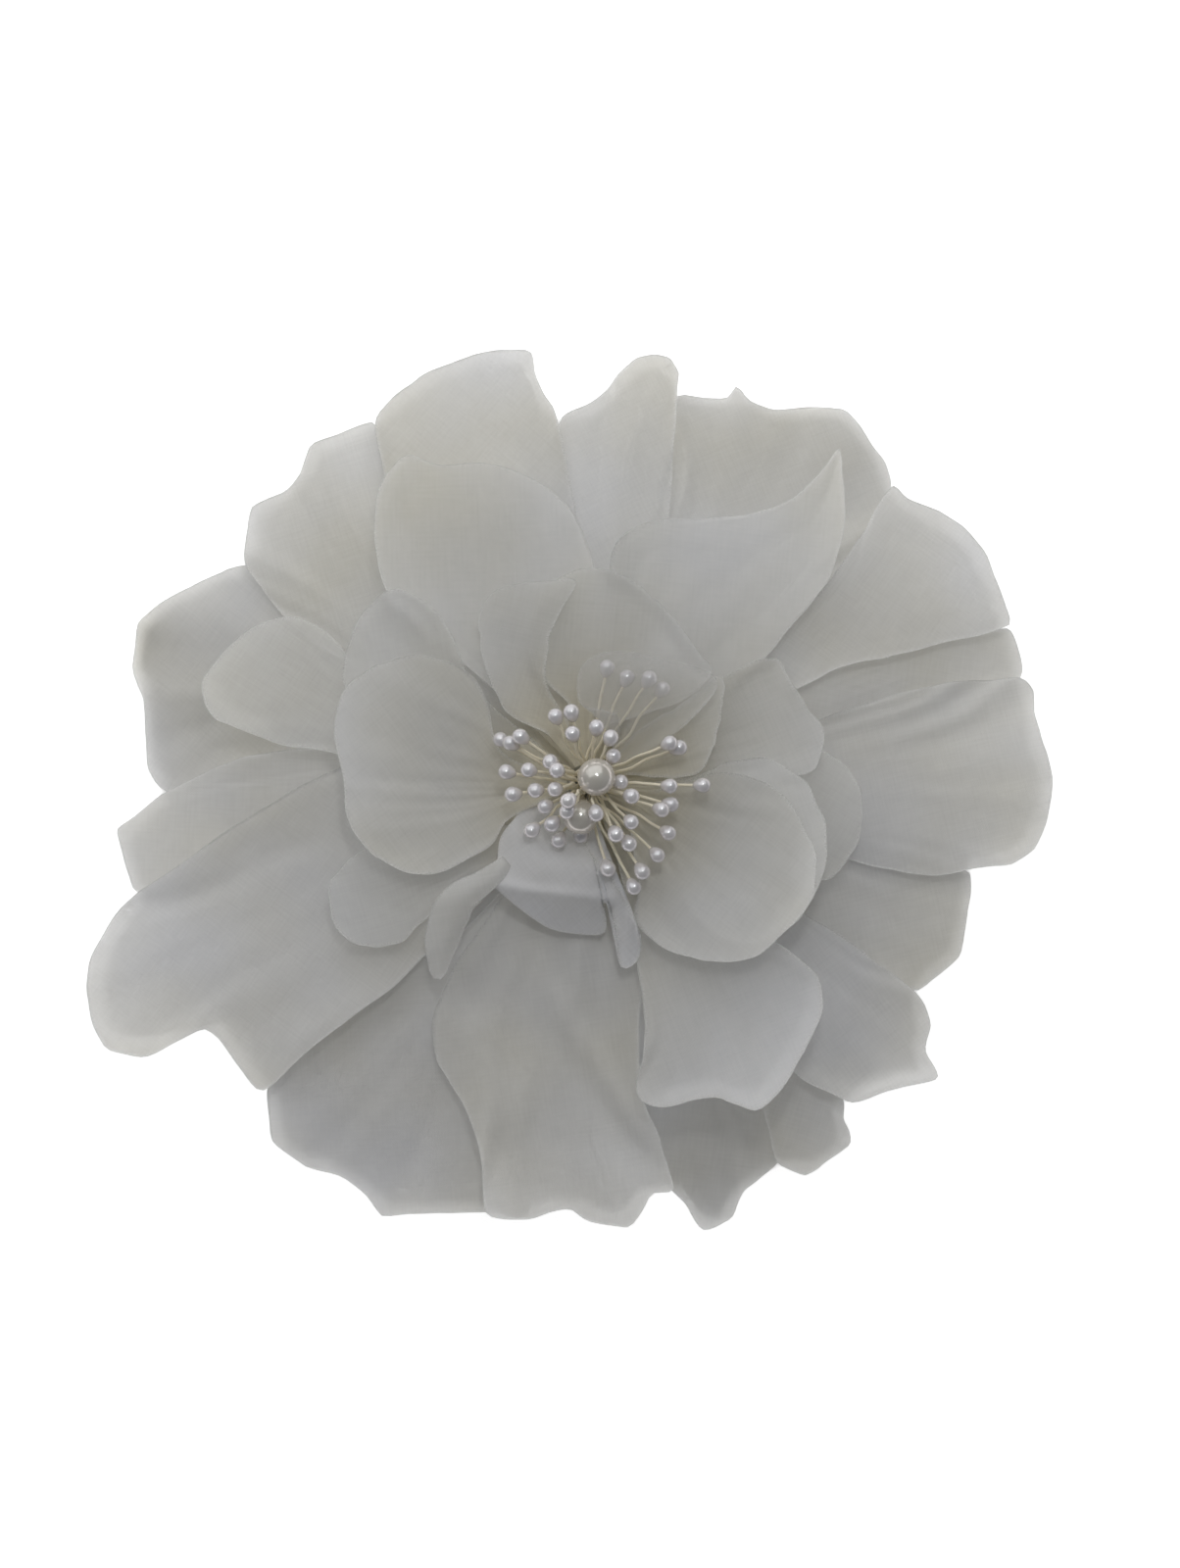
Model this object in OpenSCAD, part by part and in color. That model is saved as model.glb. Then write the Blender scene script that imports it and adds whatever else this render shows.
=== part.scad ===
// Layered organza flower hair clip: translucent petals and pearl-headed
// stamens on two felt discs, carried by a sprung alligator clip.
// All lengths are in millimetres. +Z points out of the flower, and the
// clip's jaw has its flat underside on z = 0.

/* [Flower] */
// Radius of the circle that the outermost petals reach, on average
flower_radius = 75; // [72:0.5:78]
// Thickness of one starched organza petal
petal_thickness = 0.2; // [0.14:0.02:0.24]
// Height between one petal and the next where they are gathered
petal_pitch = 0.4; // [0.36:0.02:0.46]
// How far the lowest petals hang below the felt at their tips
outer_droop = 14; // [12:0.5:15]
// How steeply the middle petals lift towards their tips
middle_lift = 1; // [0.8:0.05:1.3]
// How steeply the inner petals cup up around the stamens
inner_lift = 6; // [5:0.25:7]
// Depth of the slow waves that run around all petals
ruffle_depth = 1; // [0:0.1:1.4]

/* [Stamens and pearls] */
// Diameter of one stamen thread
thread_diameter = 0.38; // [0.3:0.02:0.4]
// Diameter of one stamen's pearl head
head_diameter = 2.5; // [2.2:0.05:2.55]
// Length of one stamen's pearl head, along its thread
head_length = 3; // [2.7:0.1:3.2]
// Diameter of the large faux pearl at the centre
pearl_diameter = 6; // [5.6:0.1:6.1]
// Diameter of the second, half-hidden faux pearl
low_pearl_diameter = 5.6; // [5.2:0.1:5.7]
// Diameter of the wire that carries the two pearls
pearl_wire_diameter = 0.34; // [0.3:0.02:0.36]

/* [Base] */
// Radius of the felt disc under the petals
base_felt_radius = 22; // [20:0.5:22.5]
// Radius of the felt disc that the clip is glued to
backing_felt_radius = 20.5; // [18:0.5:22]
// Thickness of the felt disc under the petals
base_felt_thickness = 1.4; // [1:0.1:1.6]
// Thickness of the felt disc that the clip is glued to
backing_felt_thickness = 1.3; // [1:0.1:1.5]

/* [Clip] */
// Width of the upper arm
arm_width = 9; // [8.8:0.1:10]
// Thickness of the clip's sheet steel
sheet_thickness = 0.7; // [0.6:0.05:0.75]
// Clear height between jaw and arm at the hinge
clip_gap = 3.8; // [3.7:0.05:4]
// Where the hinge pin sits along the clip
hinge_x = -9; // [-10:0.5:-8]
// How far the jaw and arm reach forward
clip_front = 31; // [29:0.5:34]
// How far the lever and arm reach back
clip_back = -28.5; // [-30:0.5:-27]
// How far the lever's end is bent down
lever_drop = 5.2; // [4.6:0.1:5.5]
// Radius of the hinge pin
pin_radius = 1.1; // [1:0.05:1.15]
// Running clearance between the pin and the jaw's ears
pin_clearance = 0.05; // [0.03:0.01:0.08]
// Diameter of the spring's wire
spring_wire = 0.45; // [0.4:0.05:0.45]
// Whole turns in the spring's coil, before its last half turn
spring_turns = 4; // [3:1:5]

/* [Hidden] */
$fn = 48;

jaw_top = sheet_thickness;
arm_z = jaw_top + clip_gap;
arm_top = arm_z + 0.8;
backing_top = arm_top + backing_felt_thickness;
felt_top = backing_top + base_felt_thickness;
hinge_z = jaw_top + clip_gap/2 + 0.1;
jaw_half = arm_width/2 - 0.85;
ear_in = arm_width/2 - 0.7;
ear_radius = 1.6;
spring_mid = pin_radius + 0.175 + spring_wire/2;

stack_z = felt_top + petal_thickness + 0.06;
root_radius = 3.2;
bind_low = felt_top + 0.05;
bind_high = bind_low + 7.2;
scale_out = flower_radius/75;

cream = [0.93, 0.91, 0.86];
steel = [0.74, 0.75, 0.77];

// ---- Petal sheets ---------------------------------------------------------
// Every petal lies on one of a family of nested bowls. Level k never meets
// level k + 1, so petals that overlap in plan only need different levels.
// Outer petals are levels 0 to 6, middle ones 7 to 10, inner ones 11 to 15.

function cup(r) = pow(max(0, r - root_radius)/35, 1.6);
function sag(r) = pow(max(0, r - 22.5)/52.5, 1.5);
function level_sag(k) = k < 7 ? -outer_droop*(1 - k*0.135) : 0;
function level_lift(k) =
  k < 7 ? 0 : k < 11 ? middle_lift*(k - 6) : inner_lift + 1.5*(k - 11);
function ruffle(r, a) =
  -ruffle_depth*pow(max(0, r - 22.5)/52.5, 2)
    *(0.9*cos(3*(a - 49)) + 0.7*cos(6*(a - 49)));
function petal_z(k, r, a) =
  stack_z + petal_pitch*k + level_sag(k)*sag(r) + level_lift(k)*cup(r)
  + ruffle(r, a);

// Radii at which every petal is creased, so stacked sheets share their folds
rings = [root_radius, 6, 10, 15, 22.5, 30, 39, 50, 61];

// Smooth reading of a short list of reaches, at position t from 0 to 1
function blend3(t) = t*t*(3 - 2*t);
function reach_at(list, t) =
  let (s = t*(len(list) - 1), i = min(floor(s), len(list) - 2))
  list[i] + (list[i + 1] - list[i])*blend3(s - i);

// One petal: from angle a0 to angle a1, with its outline given as the reach
// from the flower's centre at evenly spaced angles in between
module petal(level, a0, a1, reach, columns = 6) {
  far = max(reach)*scale_out;
  rows = [for (r = rings) if (r < 0.93*far) r];
  n = len(rows) + 1;
  w = columns + 1;
  top = [
    for (j = [0:columns])
      let (t = j/columns, a = a0 + (a1 - a0)*t,
           tip = reach_at(reach, t)*scale_out)
        for (i = [0:n - 1])
          let (r = i == n - 1 ? tip : min(rows[i], tip - 0.6*(n - 1 - i)))
            [r*cos(a), r*sin(a), petal_z(level, r, a)]
  ];
  low = [for (p = top) p - [0, 0, petal_thickness]];
  m = len(top);
  faces = concat(
    [for (j = [0:columns - 1], i = [0:n - 2])
      let (p = j*n + i) each [[p, p + n, p + n + 1], [p, p + n + 1, p + 1]]],
    [for (j = [0:columns - 1], i = [0:n - 2])
      let (p = m + j*n + i) each [[p, p + n + 1, p + n], [p, p + 1, p + n + 1]]],
    [for (i = [0:n - 2])
      each [[i, i + 1, m + i + 1], [i, m + i + 1, m + i]]],
    [for (i = [0:n - 2])
      let (p = columns*n + i)
        each [[p, m + p + 1, p + 1], [p, m + p, m + p + 1]]],
    [for (j = [0:columns - 1])
      let (p = j*n) each [[p, m + p + n, p + n], [p, m + p, m + p + n]]],
    [for (j = [0:columns - 1])
      let (p = j*n + n - 1)
        each [[p, p + n, m + p + n], [p, m + p + n, m + p]]]
  );
  polyhedron(points = concat(top, low), faces = faces);
}

module petal_outer_01() color(cream) petal(5, 91, 122, [62, 72, 75, 66, 62, 58]);
module petal_outer_02() color(cream) petal(3, 117, 154, [60, 69, 73, 71, 66, 62]);
module petal_outer_03() color(cream) petal(0, 148, 183, [62, 68, 76, 78, 76, 70]);
module petal_outer_04() color(cream) petal(3, 177, 198, [64, 75, 78, 77, 72]);
module petal_outer_05() color(cream) petal(5, 189, 226, [66, 80, 89, 88, 74, 70, 62]);
module petal_outer_06() color(cream) petal(2, 219, 258, [60, 71, 77, 76, 74, 70, 66]);
module petal_outer_07() color(cream) petal(6, 242, 283, [36, 58, 70, 72, 71, 60]);
module petal_outer_08() color(cream) petal(0, 273, 299, [60, 68, 74, 76, 71, 62]);
module petal_outer_09() color(cream) petal(2, 294, 312, [58, 72, 75, 71, 60]);
module petal_outer_10() color(cream) petal(4, 307, 333, [56, 67, 75, 69, 60]);
module petal_outer_11() color(cream) petal(2, 328, 357, [58, 66, 69, 66, 60]);
module petal_outer_12() color(cream) petal(5, 344, 373, [56, 72, 76, 76, 73, 62]);
module petal_outer_13() color(cream) petal(4, 368, 385, [64, 73, 73, 64]);
module petal_outer_14() color(cream) petal(6, 375, 409, [66, 73, 74, 72, 66, 58]);
module petal_outer_15() color(cream) petal(0, 400, 437, [62, 71, 75, 73, 70, 62]);
module petal_outer_16() color(cream) petal(4, 427, 457, [60, 66, 71, 69, 60]);

module petal_middle_01() color(cream) petal(8, 92, 136, [44, 50, 56, 59, 52, 38]);
module petal_middle_02() color(cream) petal(9, 33, 88, [34, 58, 67, 54, 47, 40, 34]);
module petal_middle_03() color(cream) petal(10, 12, 52, [26, 34, 37, 35, 26]);
module petal_middle_04() color(cream) petal(8, -28, 14, [34, 43, 46, 42, 32]);
module petal_middle_05() color(cream) petal(9, 277, 322, [36, 52, 58, 59, 50, 34]);
module petal_middle_06() color(cream) petal(8, 198, 236, [30, 43, 48, 44, 34]);
module petal_middle_07() color(cream) petal(7, 142, 176, [40, 56, 61, 56, 42]);
module petal_middle_08() color(cream) petal(9, 118, 156, [30, 43, 46, 42, 30]);

module petal_inner_01() color(cream) petal(12, 147, 209, [25, 37, 41, 41, 35, 24]);
module petal_inner_02() color(cream) petal(13, 300, 362, [22, 34, 39, 38, 36, 24]);
module petal_inner_03() color(cream) petal(12, 310, 372, [24, 35, 41, 41, 37, 24]);
module petal_inner_04() color(cream) petal(14, 238, 296, [22, 27, 29, 29, 27, 20]);
module petal_inner_05() color(cream) petal(12, 62, 112, [22, 31, 35, 35, 30, 22]);
module petal_inner_06() color(cream) petal(15, 36, 96, [15, 22, 25, 25, 22, 15]);
module petal_inner_07() color(cream) petal(13, 100, 140, [24, 31, 35, 32, 22]);
module petal_inner_08() color(cream) petal(14, 2, 50, [16, 23, 25, 22, 15]);

// ---- Round wires along a path ---------------------------------------------

function unit(v) = v/norm(v);
function tangent(p, i) =
  unit(p[min(i + 1, len(p) - 1)] - p[max(i - 1, 0)]);
// A direction across the wire, carried from point to point without twist
function carry(p, i, u) =
  let (t = tangent(p, i), v = u - t*(u*t)) unit(v);
function frames(p, i, u, out) =
  i == len(p) ? out
  : let (v = carry(p, i, u)) frames(p, i + 1, v, concat(out, [v]));

module wire(path, radius, sides = 6, start = [0.31, 0.95, 0.02]) {
  across = frames(path, 0, start, []);
  m = len(path);
  points = [
    for (i = [0:m - 1])
      let (t = tangent(path, i), u = across[i], v = cross(t, u))
        for (s = [0:sides - 1])
          path[i] + radius*(cos(360*s/sides)*u + sin(360*s/sides)*v)
  ];
  faces = concat(
    [[for (s = [0:sides - 1]) s]],
    [for (i = [0:m - 2], s = [0:sides - 1])
      let (a = i*sides + s, b = i*sides + (s + 1)%sides)
        each [[a, b + sides, b], [a, a + sides, b + sides]]],
    [[for (s = [sides - 1:-1:0]) (m - 1)*sides + s]]
  );
  polyhedron(points = points, faces = faces);
}

// ---- Stamens --------------------------------------------------------------
// Where each pearl head sits. Each thread is folded in half with a head on
// both ends, and its fold is held in the binding. The heads marked true
// stand over the lower pearl, so their threads climb before they spread.
heads = [
  [-5.1, 10.6, 26.0], [-2.6, 11.2, 27.0], [-2.4, 7.8, 28.4], [1.3, 8.8, 27.6],
  [3.5, 7.2, 28.2], [3.9, 4.3, 26.0], [-10.6, 7.4, 25.6], [-12.2, 6.4, 23.6],
  [-13.8, 7.0, 21.4], [-5.8, 3.4, 27.2], [-4.8, 2.1, 29.4], [-9.3, 2.2, 26.0],
  [-12.8, 1.9, 24.4], [-11.8, -1.6, 24.6], [-8.2, -1.0, 26.4],
  [-5.1, -0.8, 28.0], [-6.7, -3.5, 25.6], [-3.0, -2.5, 31.4, true],
  [-3.2, -4.2, 29.2, true], [1.2, -4.5, 28.8, true], [-8.8, -7.2, 24.2],
  [-5.6, -6.2, 24.6], [-4.6, -8.8, 22.6], [-1.1, -7.9, 21.0],
  [4.3, -7.8, 27.6], [6.4, -9.3, 26.0], [6.7, -5.9, 27.4], [6.7, -1.9, 28.2],
  [5.0, 0.3, 25.4], [12.8, -0.3, 25.2], [18.1, -0.2, 22.6], [12.8, 6.4, 25.4],
  [14.3, 5.7, 22.6], [11.5, -4.0, 26.2], [13.0, -3.2, 24.0],
  [12.6, -7.7, 24.4], [10.9, -11.2, 24.0], [8.5, -13.8, 23.6],
  [7.2, -16.3, 22.4], [3.1, -13.3, 22.8], [3.0, 18.4, 21.2], [6.1, 16.8, 22.2],
  [9.6, 16.6, 22.6], [11.8, 15.0, 21.4]
];
ring_radius = [0.72, 1.2, 1.66, 2.12];
ring_seats = [4, 10, 14, 16];

function polar(p) = (atan2(p[1], p[0]) + 360)%360;
function span(p) = norm([p[0], p[1]]);
function count_true(list) = len([for (x = list) if (x) 1]);
// How many heads lie nearer the centre than head i
function order_out(i) =
  count_true([for (j = [0:len(heads) - 1])
    span(heads[j]) < span(heads[i]) || (span(heads[j]) == span(heads[i]) && j < i)]);
function seats_before(q) = q == 0 ? 0 : seats_before(q - 1) + ring_seats[q - 1];
// The heads of ring q, in order of angle
function ring_heads(q) =
  let (mine = [for (i = [0:len(heads) - 1])
        let (o = order_out(i))
          if (o >= seats_before(q) && o < seats_before(q) + ring_seats[q]) i])
  [for (place = [0:len(mine) - 1]) each [for (i = mine)
    if (count_true([for (j = mine) polar(heads[j]) < polar(heads[i])
        || (polar(heads[j]) == polar(heads[i]) && j < i)]) == place) i]];
function total(list, i = 0) = i == len(list) ? 0 : list[i] + total(list, i + 1);
// Even seats around the ring, turned to lie as near their heads as they can
function ring_turn(q, order) =
  let (n = len(order))
  total([for (j = [0:n - 1]) polar(heads[order[j]]) - 360*j/n])/n;

// Half way between the even seat and the direction of the seat's own head
function seat_angle(order, turn, j) =
  0.55*(turn + 360*j/len(order)) + 0.45*polar(heads[order[j]]);

// Each thread is [seat a, head a, seat b, head b]
threads = [
  for (q = [0:3])
    let (order = ring_heads(q), n = len(order), turn = ring_turn(q, order))
      for (m = [0:n/2 - 1])
        let (a = seat_angle(order, turn, 2*m),
             b = seat_angle(order, turn, 2*m + 1),
             s = ring_radius[q])
          [[s*cos(a), s*sin(a)], heads[order[2*m]],
           [s*cos(b), s*sin(b)], heads[order[2*m + 1]]]
];

function bezier(a, b, c, t) = (1 - t)*(1 - t)*a + 2*t*(1 - t)*b + t*t*c;
// The point that the thread bends round between the binding and its head
function knee(seat, head) =
  let (xy = [head[0], head[1]], climbs = len(head) > 3,
       k = seat + (climbs ? 0.02 : 0.16)*(xy - seat))
  [k[0], k[1], bind_high + (climbs ? 0.86 : 0.62)*(head[2] - bind_high)];
function centre(head) = [head[0], head[1], head[2]];
function head_axis(seat, head) = unit(centre(head) - knee(seat, head));
function rise(seat, head) =
  let (foot = [seat[0], seat[1], bind_high],
       neck = centre(head) - 0.35*head_length*head_axis(seat, head))
  [for (t = [0:1/9:1.001]) bezier(foot, knee(seat, head), neck, t)];
function fold(a, b) =
  let (mid = (a + b)/2, h = norm(b - a)/2)
  [for (w = [0:30:180])
    let (p = mid + (a - mid)*cos(w)) [p[0], p[1], bind_low + 0.35 + h - h*sin(w)]];
// The same bend for two seats of one ring, kept on the ring's own circle
function ring_fold(a, b) =
  let (s = norm(a), from = polar(a),
       turn = (polar(b) - from + 540)%360 - 180, h = s*abs(turn)*PI/360)
  [for (w = [0:30:180])
    let (p = from + turn*(1 - cos(w))/2)
      [s*cos(p), s*sin(p), bind_low + 0.35 + h - h*sin(w)]];
function reversed(list) = [for (i = [len(list) - 1:-1:0]) list[i]];

module head(seat, at) {
  d = head_axis(seat, at);
  translate(centre(at))
    rotate([0, acos(d[2]), atan2(d[1], d[0])])
      rotate_extrude($fn = 24)
        intersection() {
          translate([0, -head_length])
            square([head_diameter, 2*head_length]);
          union() {
            translate([0, 0.1*head_length])
              circle(d = head_diameter);
            polygon([[0, -0.55*head_length], [0.36, -0.55*head_length],
                     [0.453*head_diameter, -0.07*head_length], [0, 0.2]]);
          }
        }
}

module stamen(t) {
  wire(concat(reversed(rise(t[0], t[1])), ring_fold(t[0], t[2]),
              rise(t[2], t[3])), thread_diameter/2);
  head(t[0], t[1]);
  head(t[2], t[3]);
}

module stamen_pair(i) {
  stamen(threads[2*i]);
  stamen(threads[2*i + 1]);
}

module stamens_01() color(cream) stamen_pair(0);
module stamens_02() color(cream) stamen_pair(1);
module stamens_03() color(cream) stamen_pair(2);
module stamens_04() color(cream) stamen_pair(3);
module stamens_05() color(cream) stamen_pair(4);
module stamens_06() color(cream) stamen_pair(5);
module stamens_07() color(cream) stamen_pair(6);
module stamens_08() color(cream) stamen_pair(7);
module stamens_09() color(cream) stamen_pair(8);
module stamens_10() color(cream) stamen_pair(9);
module stamens_11() color(cream) stamen_pair(10);

// ---- Large pearls ---------------------------------------------------------

pearl_at = [1.3, 1.1, 28];
low_pearl_at = [-1.2, -5.2, 25.0];
// The points that the last stretch of wire under each pearl aims away from
aim = [0, 0, bind_high + 1];
low_aim = [0.9, -1.8, bind_high + 1];
wire_seat = 0.27;
hole_depth = 2.4;

module pearl(at, d, from) {
  v = unit(at - from);
  translate(at)
    rotate([0, acos(v[2]), atan2(v[1], v[0])])
      difference() {
        sphere(d = d);
        translate([0, 0, -d]) cylinder(r = pearl_wire_diameter/2 + 0.05,
                                       h = d/2 + hole_depth);
      }
}

module pearl_upper() color(cream) pearl(pearl_at, pearl_diameter, aim);
module pearl_lower() color(cream)
  pearl(low_pearl_at, low_pearl_diameter, low_aim);

// One wire, folded in the binding, with a pearl glued on each end
module pearl_wire() color(steel) {
  a = wire_seat*[cos(77), sin(77)];
  b = -a;
  up = unit(pearl_at - aim);
  down = unit(low_pearl_at - low_aim);
  foot_a = pearl_at - pearl_diameter/2*up;
  foot_b = low_pearl_at - low_pearl_diameter/2*down;
  wire(concat(
    [foot_a + (hole_depth - 0.2)*up, foot_a - 0.6*up],
    [for (t = [0.1:0.1:1.01])
      bezier(foot_a - 0.6*up, foot_a - 4*up, [a[0], a[1], bind_high], t)],
    fold(a, b),
    [for (t = [1:-0.1:0.09])
      bezier(foot_b - 0.6*down, foot_b - 3*down, [b[0], b[1], bind_high], t)],
    [foot_b - 0.6*down, foot_b + (hole_depth - 0.2)*down]),
    pearl_wire_diameter/2, start = [0.05, 1, 0.02]);
}

// Thread wound round the folded stamens and the wire
module stem_binding() color([0.87, 0.84, 0.76])
  rotate_extrude($fn = 64) {
    translate([2.35, bind_low]) square([0.3, bind_high - bind_low - 0.1]);
    for (z = [bind_low + 0.25:0.5:bind_high - 0.3])
      translate([2.64, z]) circle(r = 0.24, $fn = 24);
  }

// ---- Felt discs -----------------------------------------------------------

module felt_disc(r, z, h)
  rotate_extrude($fn = 96) {
    translate([0, z]) square([r - h/2, h]);
    translate([r - h/2, z + h/2]) intersection() {
      circle(d = h, $fn = 24);
      translate([0, -h]) square([h, 2*h]);
    }
  }

module base_felt() color([0.9, 0.89, 0.85])
  felt_disc(base_felt_radius, backing_top, base_felt_thickness);
module backing_felt() color([0.88, 0.87, 0.83])
  felt_disc(backing_felt_radius, arm_top, backing_felt_thickness);

// ---- Clip -----------------------------------------------------------------

// A side profile in X and Z, made into a bar across Y
module across(y0, y1)
  translate([0, y1, 0]) rotate([90, 0, 0]) linear_extrude(y1 - y0) children();

module clip_arm() color(steel)
  difference() {
    union() {
      translate([0, 0, arm_z]) linear_extrude(arm_top - arm_z) {
        r = 1.8;
        translate([clip_back, -arm_width/2 + r])
          square([clip_front - clip_back, arm_width - 2*r]);
        translate([clip_back + r, -arm_width/2])
          square([clip_front - clip_back - 2*r, arm_width]);
        for (x = [clip_back + r, clip_front - r], s = [-1, 1])
          translate([x, s*(arm_width/2 - r)]) circle(r);
      }
      for (s = [0, 1]) mirror([0, s, 0])
        across(ear_in, arm_width/2) {
          translate([hinge_x - 2.3, hinge_z])
            square([4.6, arm_z + 0.1 - hinge_z]);
          translate([hinge_x, hinge_z]) circle(2.3);
        }
    }
    translate([hinge_x, 0, hinge_z]) rotate([90, 0, 0])
      cylinder(r = pin_radius + 0.01, h = 2*arm_width, center = true);
  }

tooth = 1;
tip_x = clip_front - 1;
bend_x = clip_front - 7.5;
heel_x = hinge_x - 3;

module clip_jaw() color(steel)
  difference() {
    union() {
      // floor of the jaw, its bent-up tip and the lever, as one strip
      across(-jaw_half, jaw_half)
        polygon([
          [clip_back, -lever_drop + jaw_top - 0.05], [clip_back - 0.25, -lever_drop],
          [clip_back + 0.2, -lever_drop - 0.05],
          [heel_x, 0], [bend_x, 0],
          [tip_x - 0.9, arm_z - 1.6], [tip_x + 0.3, arm_z - 1.6],
          [tip_x + 0.3, arm_z - 0.35],
          [tip_x, arm_z - 0.02], [tip_x - 0.35, arm_z - 0.5],
          [tip_x - 0.8, arm_z - 0.05], [tip_x - 1.2, arm_z - 0.6],
          [tip_x - 1.6, arm_z - 0.15], [tip_x - 2.2, arm_z - 1.0],
          [bend_x - 0.35, jaw_top], [heel_x + 0.15, jaw_top]
        ]);
      for (s = [0, 1]) mirror([0, s, 0]) {
        // ears round the pin
        across(jaw_half - 0.7, jaw_half) {
          translate([hinge_x - ear_radius, jaw_top - 0.2])
            square([2*ear_radius, hinge_z - jaw_top + 0.2]);
          translate([hinge_x, hinge_z]) circle(ear_radius);
        }
        // side flange with a row of teeth that grip the hair
        across(jaw_half - 0.7, jaw_half)
          polygon(concat(
            [[hinge_x + 3, jaw_top - 0.2], [bend_x - 1, jaw_top - 0.2]],
            [for (x = [bend_x - 1:-tooth:hinge_x + 4])
              each [[x, jaw_top + 0.9], [x - tooth/2, jaw_top + 1.7]]],
            [[hinge_x + 3, jaw_top + 0.5]]));
      }
    }
    translate([hinge_x, 0, hinge_z]) rotate([90, 0, 0])
      cylinder(r = pin_radius + pin_clearance, h = 2*arm_width, center = true);
  }

// Pin with a riveted head at each end
module hinge_pin() color(steel)
  translate([hinge_x, 0, hinge_z]) rotate([90, 0, 0]) {
    cylinder(r = pin_radius, h = arm_width, center = true);
    for (s = [0, 1]) mirror([0, 0, s])
      translate([0, 0, arm_width/2]) {
        cylinder(r = 1.6, h = 0.3);
        translate([0, 0, 0.3]) cylinder(r1 = 1.6, r2 = 1.1, h = 0.25);
      }
  }

// Torsion spring: one leg under the arm, one leg on the lever
module clip_spring() color(steel) {
  turn = 360*spring_turns + 180;
  half = 0.3*spring_turns + 0.15;
  steps = 15*spring_turns + 8;
  w = spring_wire/2;
  wire(concat(
    [[hinge_x - 8, -half, arm_z - w - 0.1],
     [hinge_x - 1.2, -half, hinge_z + spring_mid]],
    [for (i = [0:steps])
      let (a = 90 - turn*i/steps)
        [hinge_x + spring_mid*cos(a), -half + 2*half*i/steps,
         hinge_z + spring_mid*sin(a)]],
    [[hinge_x - 1.2, half, hinge_z - spring_mid],
     [heel_x - 0.2, half, jaw_top + w + 0.12],
     [heel_x - 5, half,
      jaw_top + w + 0.14 - 4.8*lever_drop/(heel_x - clip_back)]]),
    w, start = [0.02, 1, 0.03]);
}

petal_outer_01();
petal_outer_02();
petal_outer_03();
petal_outer_04();
petal_outer_05();
petal_outer_06();
petal_outer_07();
petal_outer_08();
petal_outer_09();
petal_outer_10();
petal_outer_11();
petal_outer_12();
petal_outer_13();
petal_outer_14();
petal_outer_15();
petal_outer_16();
petal_middle_01();
petal_middle_02();
petal_middle_03();
petal_middle_04();
petal_middle_05();
petal_middle_06();
petal_middle_07();
petal_middle_08();
petal_inner_01();
petal_inner_02();
petal_inner_03();
petal_inner_04();
petal_inner_05();
petal_inner_06();
petal_inner_07();
petal_inner_08();
stamens_01();
stamens_02();
stamens_03();
stamens_04();
stamens_05();
stamens_06();
stamens_07();
stamens_08();
stamens_09();
stamens_10();
stamens_11();
pearl_upper();
pearl_lower();
pearl_wire();
stem_binding();
base_felt();
backing_felt();
clip_arm();
clip_jaw();
hinge_pin();
clip_spring();
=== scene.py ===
"""Looks of the organza flower hair clip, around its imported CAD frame."""

import math

import bpy
import numpy as np
from mathutils import Matrix, Vector


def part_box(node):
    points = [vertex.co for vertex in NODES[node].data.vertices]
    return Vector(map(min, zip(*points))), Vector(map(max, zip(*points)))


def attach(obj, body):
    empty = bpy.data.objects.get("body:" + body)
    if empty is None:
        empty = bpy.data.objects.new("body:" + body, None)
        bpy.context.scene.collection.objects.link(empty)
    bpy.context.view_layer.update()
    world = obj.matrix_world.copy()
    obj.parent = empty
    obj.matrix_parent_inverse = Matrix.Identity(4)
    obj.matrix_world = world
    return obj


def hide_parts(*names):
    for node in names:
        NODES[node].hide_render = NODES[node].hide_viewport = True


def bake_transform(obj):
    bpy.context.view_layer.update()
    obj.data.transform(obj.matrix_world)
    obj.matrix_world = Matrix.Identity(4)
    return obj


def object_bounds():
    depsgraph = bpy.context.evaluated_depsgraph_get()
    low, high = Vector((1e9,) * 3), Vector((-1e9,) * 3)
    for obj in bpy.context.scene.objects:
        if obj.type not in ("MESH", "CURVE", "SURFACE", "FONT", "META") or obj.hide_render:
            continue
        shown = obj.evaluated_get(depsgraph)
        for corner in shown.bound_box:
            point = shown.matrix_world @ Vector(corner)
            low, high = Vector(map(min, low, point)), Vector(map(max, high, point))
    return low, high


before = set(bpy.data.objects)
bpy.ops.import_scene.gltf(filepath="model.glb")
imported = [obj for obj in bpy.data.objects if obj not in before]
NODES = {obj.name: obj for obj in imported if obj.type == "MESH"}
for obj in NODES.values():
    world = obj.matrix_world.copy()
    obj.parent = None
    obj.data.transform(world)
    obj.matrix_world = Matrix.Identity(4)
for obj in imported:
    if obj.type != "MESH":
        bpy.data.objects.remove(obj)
CAD_LOW, CAD_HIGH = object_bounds()
MM = 0.001
rng = np.random.default_rng(20)

# ---- Smooth random fields ---------------------------------------------------


def lattice(seed, shape):
    return np.random.default_rng(seed).uniform(-1, 1, shape)


def noise1(x, seed):
    """Smooth noise along a line, one feature a unit."""
    n = 256
    table = lattice(seed, n)
    i = np.floor(x).astype(int)
    f = x - i
    f = f * f * (3 - 2 * f)
    return table[i % n] * (1 - f) + table[(i + 1) % n] * f


def noise2(x, y, seed):
    """Smooth noise on a plane, one feature a unit."""
    n = 128
    table = lattice(seed, (n, n))
    i, j = np.floor(x).astype(int), np.floor(y).astype(int)
    f, g = x - i, y - j
    f, g = f * f * (3 - 2 * f), g * g * (3 - 2 * g)
    i0, i1, j0, j1 = i % n, (i + 1) % n, j % n, (j + 1) % n
    low = table[i0, j0] * (1 - f) + table[i1, j0] * f
    high = table[i0, j1] * (1 - f) + table[i1, j1] * f
    return low * (1 - g) + high * g


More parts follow.
